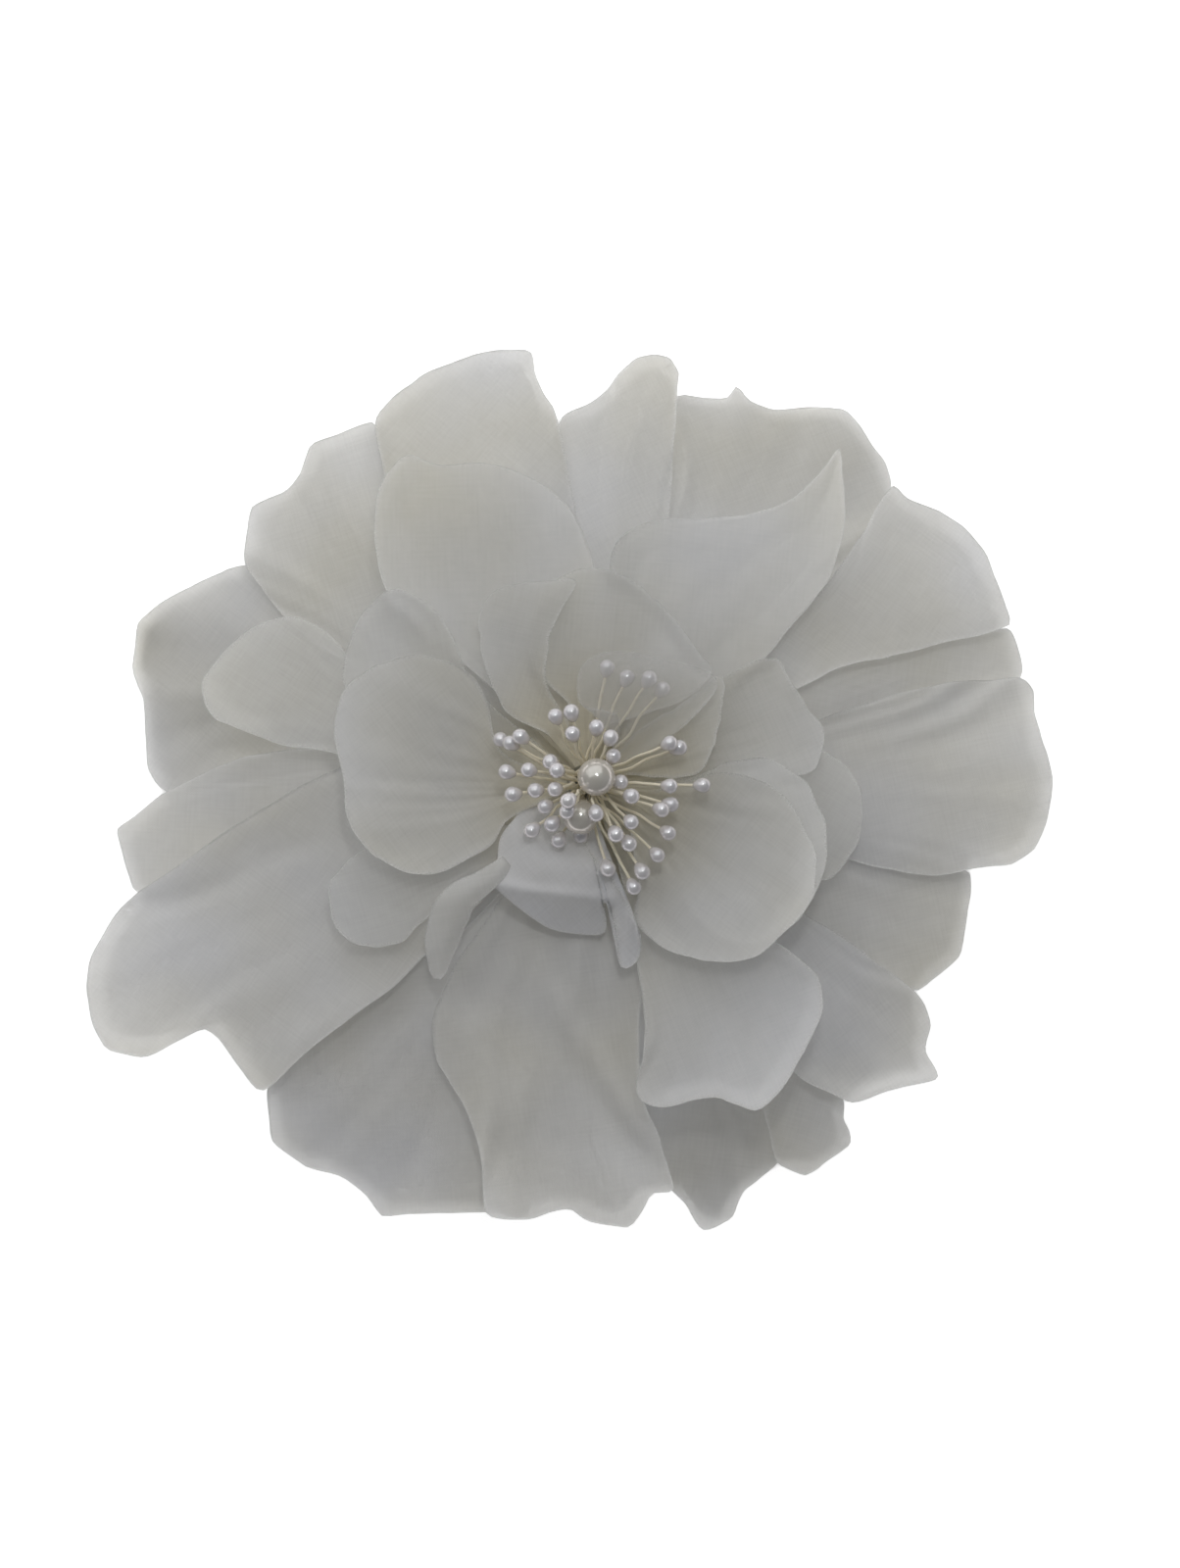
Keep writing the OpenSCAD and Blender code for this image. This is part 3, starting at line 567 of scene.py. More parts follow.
# Each petal: its level, its outline and its look. A crease is (line, height,
# width, step), a curl (from, to, width, height, fade) along the cut edge, and
# a bend (from, to, height) across the petal.
PETALS = {
    "petal_outer_01": (5, [
        (-21, 25.5), (-29.5, 41.5), (-34, 53), (-34.5, 60), (-32, 63), (-27, 66.5),
        (-21.5, 69), (-15, 70.5), (-9.5, 70.5), (-8.5, 67), (-7, 63.5), (-5, 60),
        (-3, 51), (-1.5, 38.5), (-0.5, 22.5)],
        dict(ruffle=1.0, cup=-1.5, creases=[(((-12, 30), (-10, 68)), 1.2, 3.5)],
             curls=[(0.3, 0.5, 4, 0.8)])),
    "petal_outer_02": (3, [
        (-19, 24), (-25.5, 38.5), (-31, 51), (-35, 59.5), (-41, 57), (-45.5, 55.5),
        (-47, 50.5), (-50, 47.5), (-55, 45.5), (-56, 41), (-56, 35.5), (-48, 25.5),
        (-32, 14.5)],
        dict(ruffle=1.6, waves=9, cup=-1.0)),
    "petal_outer_03": (0, [
        (-25.5, 17.5), (-43, 29), (-56, 36), (-61.5, 34.5), (-66.5, 32), (-71, 29.5),
        (-74.5, 26.5), (-75.5, 19), (-73.5, 14), (-73, 8), (-72.5, 2.5), (-69.5, -1.5),
        (-57.5, 1.5), (-43, 5.5), (-24, 3)],
        dict(ruffle=1.5, waves=8, cup=0.6)),
    "petal_outer_04": (3, [
        (-24, 4.5), (-43, 6), (-57, 4.5), (-69.5, -1.5), (-73.5, -4.5), (-77.5, -7.5),
        (-76.5, -11), (-75.5, -14.5), (-73.5, -18), (-59, -11), (-41.5, -2.5),
        (-19, -1.5)],
        dict(ruffle=0.8, cup=-1.0, curls=[(0.1, 0.35, 5, 0.9)])),
    "petal_outer_05": (5, [
        (-21, 0), (-40, 3), (-57.5, -7), (-69.5, -15), (-73.5, -17.5), (-77, -21),
        (-79.5, -25), (-81.5, -29.5), (-81.5, -34), (-80.5, -40), (-78.5, -43.5),
        (-72, -44.5), (-67, -42), (-62.5, -39.5), (-60, -41.5), (-57.5, -45.5),
        (-53, -50), (-43, -41.5), (-32, -33), (-24, -25.5), (-13, -14.5)],
        dict(ruffle=1.2, cup=1.5, curls=[(0.06, 0.35, 6, 1.4), (0.35, 0.75, 5, 0.8)],
             bends=[(0.2, 0.4, 1.4)])),
    "petal_outer_06": (2, [
        (-13, -16), (-24, -27), (-32, -29.5), (-41.5, -35), (-49.5, -44), (-53, -50.5),
        (-52.5, -55), (-52, -59), (-46.5, -63), (-40.5, -64.5), (-36.5, -67.5),
        (-34, -71), (-29, -70.5), (-22.5, -70.5), (-16, -70.5), (-9.5, -70.5),
        (-9, -48), (-6.5, -25.5)],
        dict(ruffle=1.4, waves=7, cup=-1.0)),
    "petal_outer_07": (6, [
        (-9.5, -13), (-16, -21), (-22, -29.5), (-25.5, -38.5), (-24.5, -45.5),
        (-20, -53), (-17.5, -61), (-16.5, -70), (-9.5, -70.5), (-3, -69), (0, -71),
        (6.5, -72.5), (9, -69.5), (10.5, -66.5), (14, -66), (11.5, -57.5), (8.5, -50.5),
        (8.5, -40), (8.5, -29.5), (4.5, -16)],
        dict(ruffle=1.2, waves=7, cup=-1.6,
             creases=[(((-9, -29), (13, -62)), 1.0, 2.2, 0.5),
                      (((-1.5, -22), (-1.5, -38)), 1.0, 1.4),
                      (((-20, -34), (-13, -60)), 0.7, 3.5)])),
    "petal_outer_08": (0, [
        (0, -16), (6.5, -40), (9.5, -56), (13, -66), (16, -69.5), (19, -73.5),
        (21.5, -73), (24, -71.5), (26, -67), (31, -62.5), (32, -54.5), (22.5, -35),
        (9.5, -16)],
        dict(ruffle=1.6, waves=7, cup=1.0)),
    "petal_outer_09": (2, [
        (8, -16), (19, -35), (28, -51), (31, -62), (35.5, -64.5), (39, -62), (43, -59),
        (42, -55), (42, -52), (37, -41.5), (22.5, -21)],
        dict(ruffle=1.2, waves=5, cup=-1.0)),
    "petal_outer_10": (4, [
        (9.5, -14.5), (22.5, -33.5), (33.5, -47), (42.5, -52), (49.5, -50), (57, -48),
        (55, -43.5), (56, -39), (53.5, -34), (41.5, -25), (19, -11)],
        dict(ruffle=1.2, waves=6, cup=0.6, curls=[(0.3, 0.6, 4, 1.4)])),
    "petal_outer_11": (2, [
        (14.5, -9.5), (32, -21), (46.5, -29.5), (53.5, -34), (58, -31), (61, -28),
        (62, -22.5), (62.5, -14.5), (48, -9.5), (22.5, -3)],
        dict(ruffle=1.5, waves=6, cup=-0.8)),
    "petal_outer_12": (5, [
        (16, -5), (32, -10), (46.5, -13.5), (56, -15), (63, -14), (69, -13),
        (72.5, -10.5), (75, -5), (75.5, 1), (74, 6.5), (72.5, 11.5), (72.5, 15.5),
        (70, 17.5), (56, 16), (41.5, 12), (19, 3)],
        dict(ruffle=1.5, waves=7, cup=-1.1, curls=[(0.15, 0.5, 5, 0.5)])),
    "petal_outer_13": (4, [
        (19, 3), (41.5, 10.5), (57.5, 15), (70.5, 17), (70.5, 21), (68.5, 25.5),
        (53, 23), (38.5, 18.5), (19, 9)],
        dict(ruffle=0.5, cup=-1.4)),
    "petal_outer_14": (6, [
        (19, 7), (40, 18.5), (54.5, 22), (68.5, 25.5), (67.5, 30), (66, 33.5),
        (64.5, 38), (61.5, 41.5), (57, 44.5), (52, 46.5), (49.5, 49), (45, 41.5),
        (37, 30.5), (16, 9.5)],
        dict(ruffle=1.5, waves=7, cup=0.8, curls=[(0.05, 0.3, 5, 0.6)])),
    "petal_outer_15": (0, [
        (16, 9.5), (32, 25.5), (43, 37), (50, 48.5), (49, 53), (47, 56), (45, 59.5),
        (42.5, 62), (37, 62), (30.5, 61.5), (26.5, 63), (24.5, 65.5), (23, 63.5),
        (19, 63.5), (14.5, 63.5), (13, 51), (8, 29)],
        dict(ruffle=1.6, waves=7, cup=0.8, creases=[(((12, 40), (20, 60)), 1.0, 3.0)])),
    "petal_outer_16": (4, [
        (9.5, 19), (13.5, 48), (14.5, 63), (15, 67), (13.5, 69.5), (11, 70), (8, 69.5),
        (5, 67), (3, 64.5), (0, 62), (-4, 60), (-5.5, 55), (-5, 41.5), (-1.5, 19)],
        dict(ruffle=1.2, waves=6, cup=-1.4, creases=[(((4, 35), (8, 62)), 1.0, 3.0)])),
    "petal_middle_01": (8, [
        (-13, 13), (-25.5, 24), (-32, 30.5), (-34, 38.5), (-34, 45), (-32.5, 49),
        (-29, 53), (-24, 51.5), (-17, 52), (-9.5, 49.5), (-3, 44.5), (0.5, 37), (1, 24),
        (0.5, 13)],
        dict(ruffle=1.0, waves=5, cup=2.0, curls=[(0.12, 0.5, 5, 3.0)])),
    "petal_middle_02": (9, [
        (6.5, 9.5), (4.5, 24), (3.5, 35), (5, 39.5), (9, 42), (16, 42.5), (25.5, 43),
        (33, 46), (37, 49.5), (40.2, 54), (41, 48), (41, 41.5), (39.5, 35), (35, 28),
        (29, 21), (14.5, 8)],
        dict(ruffle=0.8, waves=5, cup=1.0, curls=[(-0.05, 0.85, 5.5, 4.0, 0.35)])),
    "petal_middle_03": (10, [
        (8, 5), (16, 13.5), (24, 18.5), (30, 20.5), (32, 17.5), (35, 13), (38, 8.5),
        (36.5, 2.5), (29, 0), (14.5, 0)],
        dict(ruffle=0.8, waves=4, cup=1.0, curls=[(0.25, 0.55, 3, 1.5)])),
    "petal_middle_04": (8, [
        (16, 3), (30.5, 6.5), (38.5, 5), (42, 3), (44, -1), (44.5, -5), (44, -9),
        (41.5, -13), (38.5, -15.5), (29, -14.5), (14.5, -6.5)],
        dict(cloth='veil', ruffle=0.9, waves=5, cup=1.2)),
    "petal_middle_05": (9, [
        (5, -13), (8, -29.5), (9, -40), (8, -50), (12, -52), (16.5, -51), (21.5, -50.5),
        (27, -52.5), (30.5, -49.5), (33.5, -45), (36.5, -40), (38, -36), (37, -31),
        (33, -27.5), (25.5, -21), (13, -9.5)],
        dict(ruffle=1.0, waves=6, cup=1.4, curls=[(0.3, 0.8, 3.5, 1.2)])),
    "petal_middle_06": (8, [
        (-11, -6.5), (-27, -8), (-37, -11), (-41.5, -15.5), (-41.5, -21), (-40, -24),
        (-37.5, -26), (-34, -26.5), (-29.5, -25), (-25.5, -21), (-16, -16), (-8, -9.5)],
        dict(cloth='veil', ruffle=0.9, waves=5, cup=1.0)),
    "petal_middle_07": (7, [
        (-13, 3), (-32, 4), (-49.5, 6.5), (-60, 10.5), (-62.5, 16), (-59.5, 21),
        (-54, 25.5), (-48, 27), (-42.5, 25), (-37, 19), (-27, 13), (-11, 6.5)],
        dict(cloth='veil', ruffle=1.2, waves=6, cup=0.5, curls=[(0.3, 0.7, 4, 1.5)])),
    "petal_middle_08": (9, [
        (-11, 3), (-27, 6.5), (-37, 12), (-39.5, 17.5), (-38, 24), (-34.5, 29.5),
        (-30.5, 31.5), (-25.5, 29), (-22, 24), (-19.5, 17.5), (-16, 13), (-8, 6.5)],
        dict(cloth='veil', ruffle=0.9, waves=5, cup=1.4, curls=[(0.4, 0.8, 3, 1.4)])),
    "petal_inner_01": (12, [
        (-6.5, -2.5), (-12.5, -5.5), (-15, -9), (-19, -12), (-25.5, -14.5),
        (-31.5, -13), (-36, -10), (-38.5, -5), (-39.5, 1.5), (-40.5, 9), (-39, 15),
        (-35, 18.5), (-30, 20), (-25, 20.5), (-19, 17.5), (-16, 12.5), (-14, 5.5),
        (-7, 1.5)],
        dict(ruffle=0.7, waves=5, cup=1.3, rough=0.3, lip=0.15)),
    "petal_inner_02": (13, [
        (6.5, -5), (8, -16), (7.5, -21), (9.5, -24.5), (13, -26.5), (19.5, -28.5),
        (26.5, -27.5), (31.5, -23.5), (35, -20), (36.5, -13.5), (35, -7.5), (31.5, -2),
        (26.5, 1), (21.5, 2), (17, 1), (11, -1)],
        dict(ruffle=0.6, waves=5, cup=1.2, rough=0.3, lip=0.15)),
    "petal_inner_03": (12, [
        (9.5, -5), (14.5, -17.5), (22.5, -25.5), (32, -23), (36, -18.5), (38, -13),
        (38, -6.5), (36, -1.5), (33, 2), (29, 4), (23, 3.5), (17.5, 1.5), (9.5, 0)],
        dict(ruffle=0.6, waves=5, cup=1.2, rough=0.3, lip=0.15)),
    "petal_inner_05": (12, [
        (-3, 13), (-7.5, 17.5), (-9.5, 24), (-8.5, 29.5), (-4, 33.5), (0, 34.5),
        (5, 33.5), (9.5, 30.5), (13.5, 27), (18, 21), (19.5, 17), (14.5, 13), (3, 9.5)],
        dict(ruffle=0.8, waves=5, cup=1.6, rough=0.3, curls=[(0.35, 0.8, 3, 2.0)])),
    "petal_inner_07": (13, [
        (-6.5, 8), (-13.5, 12), (-16.5, 19), (-17.5, 25.5), (-15.5, 30.5), (-11, 32),
        (-6.5, 32.5), (-2, 32.5), (-4.5, 28), (-6.5, 22.5), (-6.5, 16), (-3, 9.5)],
        dict(ruffle=0.8, waves=5, cup=1.4, rough=0.3)),
    "petal_inner_08": (14, [
        (5, 5), (8, 8.5), (12, 11), (17, 14), (21, 17.5), (22, 15), (21, 9.5),
        (19.5, 4), (17, 1.5), (13, 1), (6.5, 1.5)],
        dict(ruffle=0.7, waves=4, cup=1.2, rough=0.3)),
}


RIM = 0.7  # how far the cut edge's frays reach in


def close_sheet(name, x, y, z, out, deep, material, turn):
    """A closed thin sheet from a grid of points, with its cloth lying flat
    in the UV map and the cut edge marked."""
    n, m = x.shape
    top = np.stack([x, y, z], -1)
    du, dv = np.gradient(top, axis=(0, 1))
    nrm = np.cross(du, dv).reshape(-1, 3)
    nrm /= np.maximum(np.linalg.norm(nrm, axis=1), 1e-9)[:, None]
    flip = nrm[:, 2].mean() < 0
    if flip:
        nrm = -nrm
    up = top.reshape(-1, 3)
    down = up - THICK * nrm
    count = n * m
    k = np.arange(count).reshape(n, m)
    a, b, c, d = k[:-1, :-1], k[1:, :-1], k[1:, 1:], k[:-1, 1:]
    quads = np.stack([a, b, c, d], -1).reshape(-1, 4)
    if flip:
        quads = quads[:, ::-1]
    under = quads[:, ::-1] + count
    ring = np.concatenate([k[:, 0], k[-1, 1:], k[-2::-1, -1], k[0, -2:0:-1]])
    nxt = np.roll(ring, -1)
    side = np.stack([ring, ring + count, nxt + count, nxt], -1)
    if not flip:
        side = side[:, ::-1]
    faces = np.concatenate([quads, under, side])
    points = np.concatenate([up, down]) * MM
    obj = mesh_object(name, points, faces.tolist(), material)
    mesh = obj.data
    vert = np.zeros(len(mesh.loops), np.int32)
    mesh.loops.foreach_get("vertex_index", vert)
    cx, sx = math.cos(turn), math.sin(turn)
    flat = np.stack([x * cx + y * sx, -x * sx + y * cx], -1).reshape(-1, 2) * MM
    flat = np.concatenate([flat, flat])[vert]
    layer = mesh.uv_layers.new(name="flat")
    layer.data.foreach_set("uv", flat.ravel())
    for key, values in (("rim", smooth(1 - out / RIM)), ("deep", deep)):
        att = mesh.attributes.new(key, "FLOAT", "POINT")
        att.data.foreach_set("value", np.tile(values.ravel(), 2).astype(np.float32))
    return obj


def make_petals():
    """Builds every petal from the lowest level up, so each settles on those
    below it."""
    order = sorted(PETALS, key=lambda k: (PETALS[k][0], k))
    made = []
    for k, name in enumerate(order):
        level, outline, look = PETALS[name]
        seed = 40 + 17 * k
        kind = name.split("_")[1]
        x, y, z, out = petal_sheet(name, level, outline, seed, look)
        z = settle(x, y, z)
        deep = smooth((26 - np.hypot(x, y)) / 22)
        turn = rng.uniform(0, math.pi)
        cloth = ORGANZA[look.get("cloth", kind)]
        obj = close_sheet(name + "_cloth", x, y, z, out, deep, cloth, turn)
        made.append(obj)
        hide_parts(name)
        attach(obj, "flower")
    return made


petals = make_petals()

# ---- The two small petals at the centre -------------------------------------


def folded_petal():
    """The petal under the stamens. It stands clear of the others, and its
    front edge is folded down over itself."""
    outline = [
        (-11, -4.5), (-14, -8.4), (-14.6, -12.5), (-15.2, -16), (-12.6, -18.8),
        (-9, -21.6), (-6, -23.4), (-2, -24.2), (2.4, -24.2), (2.9, -21.6),
        (2.3, -18.8), (3.4, -20), (4.5, -23.5), (5.2, -29.4), (7.7, -28.8),
        (8.5, -26), (7.8, -22.4), (5.8, -18.6), (3.4, -15), (-0.4, -9.8), (0.8, -6),
    ]
    edge = spline(outline, 81)
    a = np.radians(np.linspace(-150, -65, 81))
    root = 3.4 * np.stack([np.cos(a), np.sin(a)], 1)
    u = np.linspace(0, 1, 41)
    x = root[:, :1] + (edge[:, 0] - root[:, 0])[:, None] * u
    y = root[:, 1:] + (edge[:, 1] - root[:, 1])[:, None] * u
    r = np.hypot(x, y)
    z = 14.4 + 7.0 * smooth((r - 3) / 12) - 0.02 * (x + 5) ** 2
    # beyond the fold line the cloth turns over and hangs down
    front = -16.6 - 0.13 * (x + 14) - 0.25 * noise1(x / 5, 91)
    past = np.clip(front - y, 0, None)
    hang = np.where(x < 3.2, 1.0, smooth((5.0 - x) / 1.8))
    z = z - hang * (1.05 * past + 0.6 * smooth(past / 1.2))
    z = z - (1 - hang) * 0.28 * np.clip(-18 - y, 0, None)
    z = z + 0.35 * np.exp(-(((y - front - 0.5) / 0.9) ** 2)) * hang
    z = z + 0.5 * noise2(x / 6, y / 6, 92) + 0.12 * noise2(x / 2, y / 2, 93)
    z = settle(x, y, z, 10)
    out = edge_distance(x, y, edge)[0]
    deep = smooth((9 - r) / 6)
    # the lighter, bluer copy: painted light on this petal
    cloth = ORGANZA["folded"]
    obj = close_sheet("petal_inner_04_cloth", x, y, z, out, deep, cloth, 0.7)
    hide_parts("petal_inner_04")
    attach(obj, "flower")
    hanging_fold()


def hanging_fold():
    """The narrow end of the same petal, folded over to its left."""
    middle = spline(
        [(-12.8, -12.6, 20.6), (-16.6, -15.6, 21.0), (-21, -18.8, 20.0),
         (-23.4, -24.5, 17.4), (-24.4, -31.4, 14.8)], 41
    )
    t = np.linspace(0, 1, 41)
    half = np.interp(
        t, [0, 0.25, 0.5, 0.75, 0.95, 1], [1.4, 2.1, 3.2, 2.8, 1.5, 0.6])
    half = half[:, None]
    ahead = unit_rows(np.gradient(middle[:, :2], axis=0))
    v = np.linspace(-1, 1, 15)
    x = middle[:, :1] - ahead[:, 1:] * half * v
    y = middle[:, 1:2] + ahead[:, :1] * half * v
    z = middle[:, 2:] - 0.5 * half * v**2 + 0.9 * v * smooth(t * 2)[:, None]
    z = z + 0.25 * noise2(x / 3, y / 3, 94)
    out = half * (1 - np.abs(v))
    cloth = ORGANZA["middle"]
    obj = close_sheet("petal_inner_04_fold", x, y, z, out, 0 * x, cloth, 0.2)
    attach(obj, "flower")


def sheer_petal():
    """A small see-through petal that rises between the threads and spreads
    in front of five of the heads."""
    outline = [
        (15.5, 9.5), (18.6, 12.6), (20.6, 15.6), (19.4, 17.8), (15, 19.2),
        (9.6, 20.6), (5, 21.2), (1.4, 20.6), (-1, 18.8), (-1.8, 15.6),
        (-1.2, 12.8), (1.4, 12.0), (4.5, 11.4),
    ]
    edge = spline(outline, 49)
    s = np.linspace(0, 1, 49)[:, None]
    a = np.radians(38 + 32 * (0.5 - s))
    root = np.concatenate([ROOT_R * np.cos(a), ROOT_R * np.sin(a), 0 * s + 14.2], 1)
    c = np.radians(38)
    side = (s - 0.5) * 5.0
    neck = np.concatenate(
        [9.6 * np.cos(c) - side * np.sin(c), 9.6 * np.sin(c) + side * np.cos(c),
         0 * s + 22.5], 1
    )
    tip = np.concatenate([edge, 0 * s + 25.6], 1)
    u = np.linspace(0, 1, 31)[None, :, None]
    p = (1 - u) ** 2 * root[:, None] + u**2 * tip[:, None]
    p = p + 2 * u * (1 - u) * neck[:, None]
    x, y, z = p[..., 0], p[..., 1], p[..., 2]
    z = z + 0.5 * noise2(x / 6, y / 6, 95) * smooth(u[..., 0] * 1.4)
    z = z + 0.12 * noise2(x / 2, y / 2, 96)
    out = edge_distance(x, y, edge)[0]
    cloth = ORGANZA["sheer"]
    obj = close_sheet("petal_inner_06_cloth", x, y, z, out, 0 * x, cloth, 0.3)
    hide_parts("petal_inner_06")
    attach(obj, "flower")


folded_petal()
sheer_petal()

# ---- Stamens ----------------------------------------------------------------
# The CAD's heads, seats and bends, with rounder threads that aren't quite
# straight, and a smooth drop of lacquer for each head.

# where each head is; True marks a stamen that climbs before it leans
HEADS = [
    (-5.1, 10.6, 26.0), (-2.6, 11.2, 27.0), (-2.4, 7.8, 28.4), (1.3, 8.8, 27.6),
    (3.5, 7.2, 28.2), (3.9, 4.3, 26.0), (-10.6, 7.4, 25.6), (-12.2, 6.4, 23.6),
    (-13.8, 7.0, 21.4), (-5.8, 3.4, 27.2), (-4.8, 2.1, 29.4), (-9.3, 2.2, 26.0),
    (-12.8, 1.9, 24.4), (-11.8, -1.6, 24.6), (-8.2, -1.0, 26.4),
    (-5.1, -0.8, 28.0), (-6.7, -3.5, 25.6), (-3.0, -2.5, 31.4, True),
    (-3.2, -4.2, 29.2, True), (1.2, -4.5, 28.8, True), (-8.8, -7.2, 24.2),
    (-5.6, -6.2, 24.6), (-4.6, -8.8, 22.6), (-1.1, -7.9, 21.0),
    (4.3, -7.8, 27.6), (6.4, -9.3, 26.0), (6.7, -5.9, 27.4), (6.7, -1.9, 28.2),
    (5.0, 0.3, 25.4), (12.8, -0.3, 25.2), (18.1, -0.2, 22.6), (12.8, 6.4, 25.4),
    (14.3, 5.7, 22.6), (11.5, -4.0, 26.2), (13.0, -3.2, 24.0),
    (12.6, -7.7, 24.4), (10.9, -11.2, 24.0), (8.5, -13.8, 23.6),
    (7.2, -16.3, 22.4), (3.1, -13.3, 22.8), (3.0, 18.4, 21.2), (6.1, 16.8, 22.2),
    (9.6, 16.6, 22.6), (11.8, 15.0, 21.4)
]
RINGS = ((0.72, 4), (1.2, 10), (1.66, 14), (2.12, 16))  # radius, stamens
BUNCH = 4  # stamens in each of the CAD's pieces
BIND_HIGH = FELT_TOP + 7.25  # the top of the bound stems
THREAD_R = 0.24
HEAD_R = 1.25
THREAD_SIDES, HEAD_SIDES = 8, 22


def polar(p):
    """A head's direction from the middle, in degrees."""
    return math.degrees(math.atan2(p[1], p[0])) % 360


def unit(v):
    return v / np.linalg.norm(v)


def knee_of(seat, head):
    """Where a thread bends between its seat and its head."""
    climbs = len(head) > 3
    xy = seat + (0.02 if climbs else 0.16) * (np.array(head[:2]) - seat)
    rise = (0.86 if climbs else 0.62) * (head[2] - BIND_HIGH)
    return np.array([*xy, BIND_HIGH + rise])


def thread_path(seat, head, seed):
    """From the binding up to the head, a little crooked on the way."""
    foot = np.array([*seat, BIND_HIGH - 1.2])
    knee = knee_of(seat, head)
    at = np.array(head[:3], float)
    end = at - 1.05 * unit(at - knee)
    t = np.linspace(0, 1, 22)[:, None]
    line = (1 - t) ** 2 * foot + 2 * t * (1 - t) * knee + t**2 * end
    far = t[:, 0] * np.linalg.norm(at - foot)
    wander = np.stack([noise1(far / 3.1 + 3, seed + k) for k in range(3)], 1)
    line = line + wander * 0.42 * (np.sin(math.pi * t) ** 0.8)
    return np.concatenate([line, [at]])


def loft(rings, sides, flip=False):
    """Faces between rings of points, with a cap at each end."""
    faces = []
    for b in range(0, (rings - 1) * sides, sides):
        for j in range(sides):
            i = (j + 1) % sides
            faces.append((b + j, b + i, b + sides + i, b + sides + j))
    caps = [tuple(range((rings - 1) * sides, rings * sides))]
    caps.insert(0, tuple(range(sides))[::-1])
    if flip:
        faces, caps = [f[:1] + f[:0:-1] for f in faces], [c[::-1] for c in caps]
    return faces + caps


def around(sides):
    return np.linspace(0, 2 * math.pi, sides, endpoint=False)[:, None]


def tube(path, radius):
    """A thread along a path, without a twist."""
    up = np.array([0.31, 0.95, 0.02])
    a = around(THREAD_SIDES)
    points = []
    for p, t in zip(path, unit_rows(np.gradient(path, axis=0))):
        up = unit(up - t * (up @ t))
        points.append(p + radius * (np.cos(a) * up + np.sin(a) * np.cross(t, up)))
    return np.concatenate(points), loft(len(path), THREAD_SIDES)


def drop(at, axis, seed):
    """A lacquered head: round in front, drawn out along its thread."""
    grow = 1 + 0.05 * noise1(np.array([seed * 1.7]), 7)[0]
    t = np.linspace(0, math.pi, 15)
    reach = HEAD_R * np.cos(t) + 0.3
    reach = np.where(reach < 0, reach * 1.55, reach)
    narrow = np.where(t > 1.6, 1 - 0.18 * smooth((t - 1.6) / 1.5), 1)
    wide = np.maximum(HEAD_R * np.sin(t) * narrow, 0.02)
    side = unit(np.cross(axis, [0.3, 0.2, 0.9]))
    a = around(HEAD_SIDES)
    ring = np.cos(a) * side + np.sin(a) * np.cross(axis, side)
    points = [at + grow * (far * axis + w * ring) for far, w in zip(reach, wide)]
    return np.concatenate(points), loft(len(t), HEAD_SIDES, flip=True)


def joined(parts):
    """Several meshes as one."""
    points, faces, base = [], [], 0
    for p, f in parts:
        points.append(p)
        faces += [tuple(i + base for i in face) for face in f]
        base += len(p)
    return np.concatenate(points), faces


def make_stamens():
    order = sorted(range(len(HEADS)), key=lambda i: (math.hypot(*HEADS[i][:2]), i))
    pairs, start = [], 0
    for radius, count in RINGS:
        mine = sorted(order[start:start + count], key=lambda i: (polar(HEADS[i]), i))
        start += count
        even = 360 / count
        turn = sum(polar(HEADS[i]) - even * j for j, i in enumerate(mine)) / count
        for j, i in enumerate(mine):
            # a seat lies between its head's direction and an even spacing
            a = math.radians(0.55 * (turn + even * j) + 0.45 * polar(HEADS[i]))
            seat = radius * np.array([math.cos(a), math.sin(a)])
            pairs.append((seat, HEADS[i], 300 + 7 * len(pairs)))
    for k in range(0, len(pairs), BUNCH):
        bunch = pairs[k:k + BUNCH]
        node = "stamens_%02d" % (k // BUNCH + 1)
        lines = [tube(thread_path(s, h, seed), THREAD_R) for s, h, seed in bunch]
        drops = []
        for s, h, seed in bunch:
            at = np.array(h[:3], float)
            drops.append(drop(at, unit(at - knee_of(s, h)), seed))
        for suffix, parts, mat in (("threads", lines, THREAD), ("heads", drops, HEAD)):
            points, faces = joined(parts)
            obj = mesh_object(node + "_" + suffix, points * MM, faces, mat)
            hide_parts(node)
            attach(obj, "flower")


make_stamens()

# ---- Felts ------------------------------------------------------------------


def felt_disc(node, seed):
    """A cut disc of felt with a fibrous edge."""
    low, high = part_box(node)
    low, high = np.array(low) / MM, np.array(high) / MM
    cx, cy = (low[:2] + high[:2]) / 2
    radius = (high[0] - low[0]) / 2
    n, sides = 26, 160
    # from the middle of the top, out, over the edge and back underneath
    r = np.linspace(0.02, 1, n) ** 0.8
    r = np.concatenate([r, [1.0], r[::-1]])
    a = around(sides)[:, 0]
    rr, aa = np.meshgrid(r * (radius - 0.12), a, indexing="ij")
    ragged = 0.1 * noise1(aa * 24, seed) + 0.06 * noise1(aa * 70, seed + 1)
    rr = rr + ragged * (rr / radius) ** 8
    x, y = cx + rr * np.cos(aa), cy + rr * np.sin(aa)
    top = np.repeat((np.arange(2 * n + 1) <= n)[:, None], sides, 1)
    rough = 0.05 * (noise2(x / 0.8, y / 0.8, seed + 2) + noise2(x / 3, y / 3, seed + 3))
    near = 0.06 + (rr / radius) ** 24 * 0.28
    z = np.where(top, high[2] - near, low[2] + near) + rough
    z[n] = (low[2] + high[2]) / 2
    rr[n] += 0.1
    x[n], y[n] = cx + rr[n] * np.cos(a), cy + rr[n] * np.sin(a)
    points = np.stack([x, y, z], -1).reshape(-1, 3) * MM
    obj = mesh_object(node + "_cloth", points, loft(len(r), sides, flip=True), FELT)
    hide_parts(node)
    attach(obj, "flower")


felt_disc("base_felt", 501)
felt_disc("backing_felt", 511)

# ---- Spring -----------------------------------------------------------------


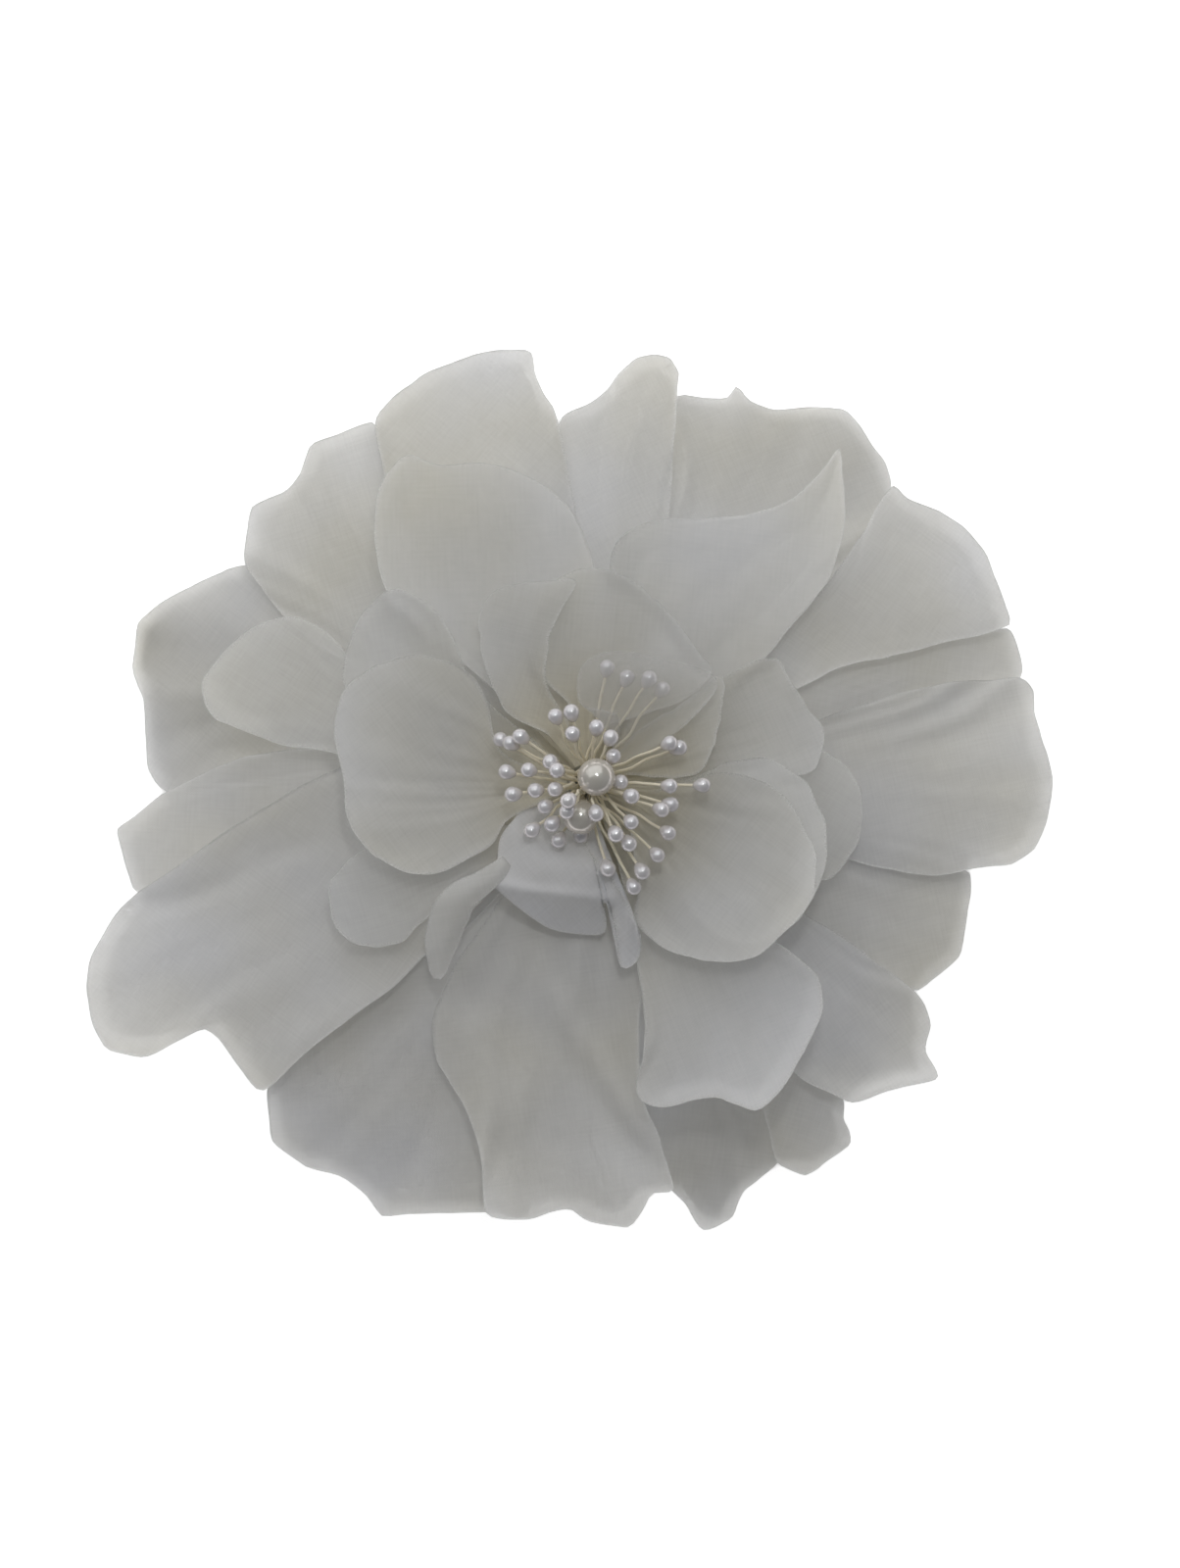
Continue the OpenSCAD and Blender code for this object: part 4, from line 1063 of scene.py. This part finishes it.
def spring_copy():
    """The CAD's spring, as a mesh of its own between the arm and the lever."""
    source = NODES["clip_spring"]
    obj = bpy.data.objects.new("clip_spring_wire", source.data.copy())
    obj.matrix_world = source.matrix_world
    bpy.context.scene.collection.objects.link(obj)
    obj.data.materials.clear()
    obj.data.materials.append(SPRING)
    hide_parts("clip_spring")
    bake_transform(obj)


spring_copy()

for node, mat in (
    ("clip_arm", STEEL), ("clip_jaw", STEEL), ("hinge_pin", STEEL),
    ("pearl_wire", SPRING), ("stem_binding", WOUND),
    ("pearl_upper", PEARL), ("pearl_lower", PEARL),
):
    data = NODES[node].data
    data.materials.clear()
    data.materials.append(mat)

# ---- Camera, light and floor ------------------------------------------------

PHOTO_HEIGHT = 0.256  # what the photograph's frame covers at the flower
DISTANCE = 0.9
camera = bpy.data.cameras.new("camera")
camera.sensor_fit = "AUTO"
camera.sensor_width = 36
camera.lens = 36 * (DISTANCE - 0.004) / PHOTO_HEIGHT
camera.clip_start, camera.clip_end = 0.05, 5
eye = bpy.data.objects.new("camera", camera)
eye.location = (0.0003, 0, DISTANCE)
bpy.context.scene.collection.objects.link(eye)
bpy.context.scene.camera = eye


def area_light(name, place, target, size, power, colour):
    data = bpy.data.lights.new(name, "AREA")
    data.shape = "RECTANGLE"
    data.size, data.size_y = size
    data.energy, data.color = power, colour
    obj = bpy.data.objects.new(name, data)
    obj.location = place
    aim = Vector(target) - Vector(place)
    obj.rotation_mode = "QUATERNION"
    obj.rotation_quaternion = aim.to_track_quat("-Z", "Y")
    bpy.context.scene.collection.objects.link(obj)


area_light("key", (-0.12, 0.33, 0.36), (0, 0.01, 0.01), (1.0, 0.6), 1.50,
           (1.0, 0.995, 0.985))
area_light("fill", (-0.05, 0.45, 0.7), (0, 0, 0), (1.3, 1.3), 0.82,
           (0.985, 0.985, 1.0))
area_light("spark", (0.03, 0.16, 0.6), (0, 0, 0.02), (0.045, 0.045), 0.45,
           (1.0, 1.0, 1.0))
world = bpy.data.worlds.new("studio")
world.use_nodes = True
background = world.node_tree.nodes["Background"]
background.inputs["Color"].default_value = (0.97, 0.975, 1.0, 1)
background.inputs["Strength"].default_value = 0.135
bpy.context.scene.world = world

# The floor's emission is painted light that makes it a clean white around the flower;
# under the flower it gets none, so that unlit patch is a painted shadow in the flower's
# outline.
GLOW = 0.8
OPEN = 0.075  # about the flower's radius, for the outer rings


def glowing_floor():
    n = Nodes("floor")
    at = n.add("TexCoord").outputs["Object"]
    grain = n.noise(at, 300.0, 2.0)
    # glow masks the painted light: 1 outside the flower's outline, 0 inside it, where it
    # leaves a painted shadow
    glow = n.add("Attribute", attribute_name="glow").outputs["Fac"]
    paper = n.add(
        "BsdfPrincipled",
        {
            "Base Color": n.mix(grain, rgba((0.9,) * 3), rgba((0.88,) * 3)),
            "Roughness": 0.9,
            "Specular IOR Level": 0.1,
            "Emission Color": (1, 1, 1, 1),
            "Emission Strength": n.math("MULTIPLY", glow, GLOW),
        },
    )
    n.link(paper.outputs[0], n.out.inputs[0])
    return n.mat


def floor_mesh():
    """Rings round the flower's own outline; the floor's painted glow starts at it, and the
    rings inside it stay dark as a painted shadow.
    """
    sides = 180
    a = (np.arange(sides) + 0.5) * 2 * math.pi / sides
    reach = np.full(sides, 0.05)
    for obj in petals:
        co = np.zeros(3 * len(obj.data.vertices))
        obj.data.vertices.foreach_get("co", co)
        co = co.reshape(-1, 3)
        turn = np.degrees(np.arctan2(co[:, 1], co[:, 0])) % 360
        k = (turn * sides / 360).astype(int) % sides
        np.maximum.at(reach, k, np.hypot(co[:, 0], co[:, 1]))
    reach = np.minimum(reach, np.minimum(np.roll(reach, 1), np.roll(reach, -1)))
    # how far out each ring is, and whether it glows
    rings = [(0.02, 0), (0.5, 0), (0.9, 0), (0.98, 0), (1.005, 1), (1.1, 1),
             (1.5, 1), (4, 1), (16, 1), (60, 1)]
    points, glow = [], []
    for scale, value in rings:
        r = reach * scale if scale < 1.2 else np.full(sides, OPEN * scale)
        points.append(np.stack([r * np.cos(a), r * np.sin(a), 0 * r], 1))
        glow += [value] * sides
    points = np.concatenate(points)
    points[:, 2] = CAD_LOW.z - 0.0001
    faces = [tuple(range(sides))]
    for k in range(len(rings) - 1):
        for j in range(sides):
            i, b = (j + 1) % sides, k * sides
            faces.append((b + j, b + sides + j, b + sides + i, b + i))
    obj = mesh_object("floor", points, faces, glowing_floor())
    att = obj.data.attributes.new("glow", "FLOAT", "POINT")
    att.data.foreach_set("value", np.array(glow, np.float32))
    return obj


floor = floor_mesh()

scene = bpy.context.scene
scene.view_settings.view_transform = "Standard"
scene.view_settings.look = "None"
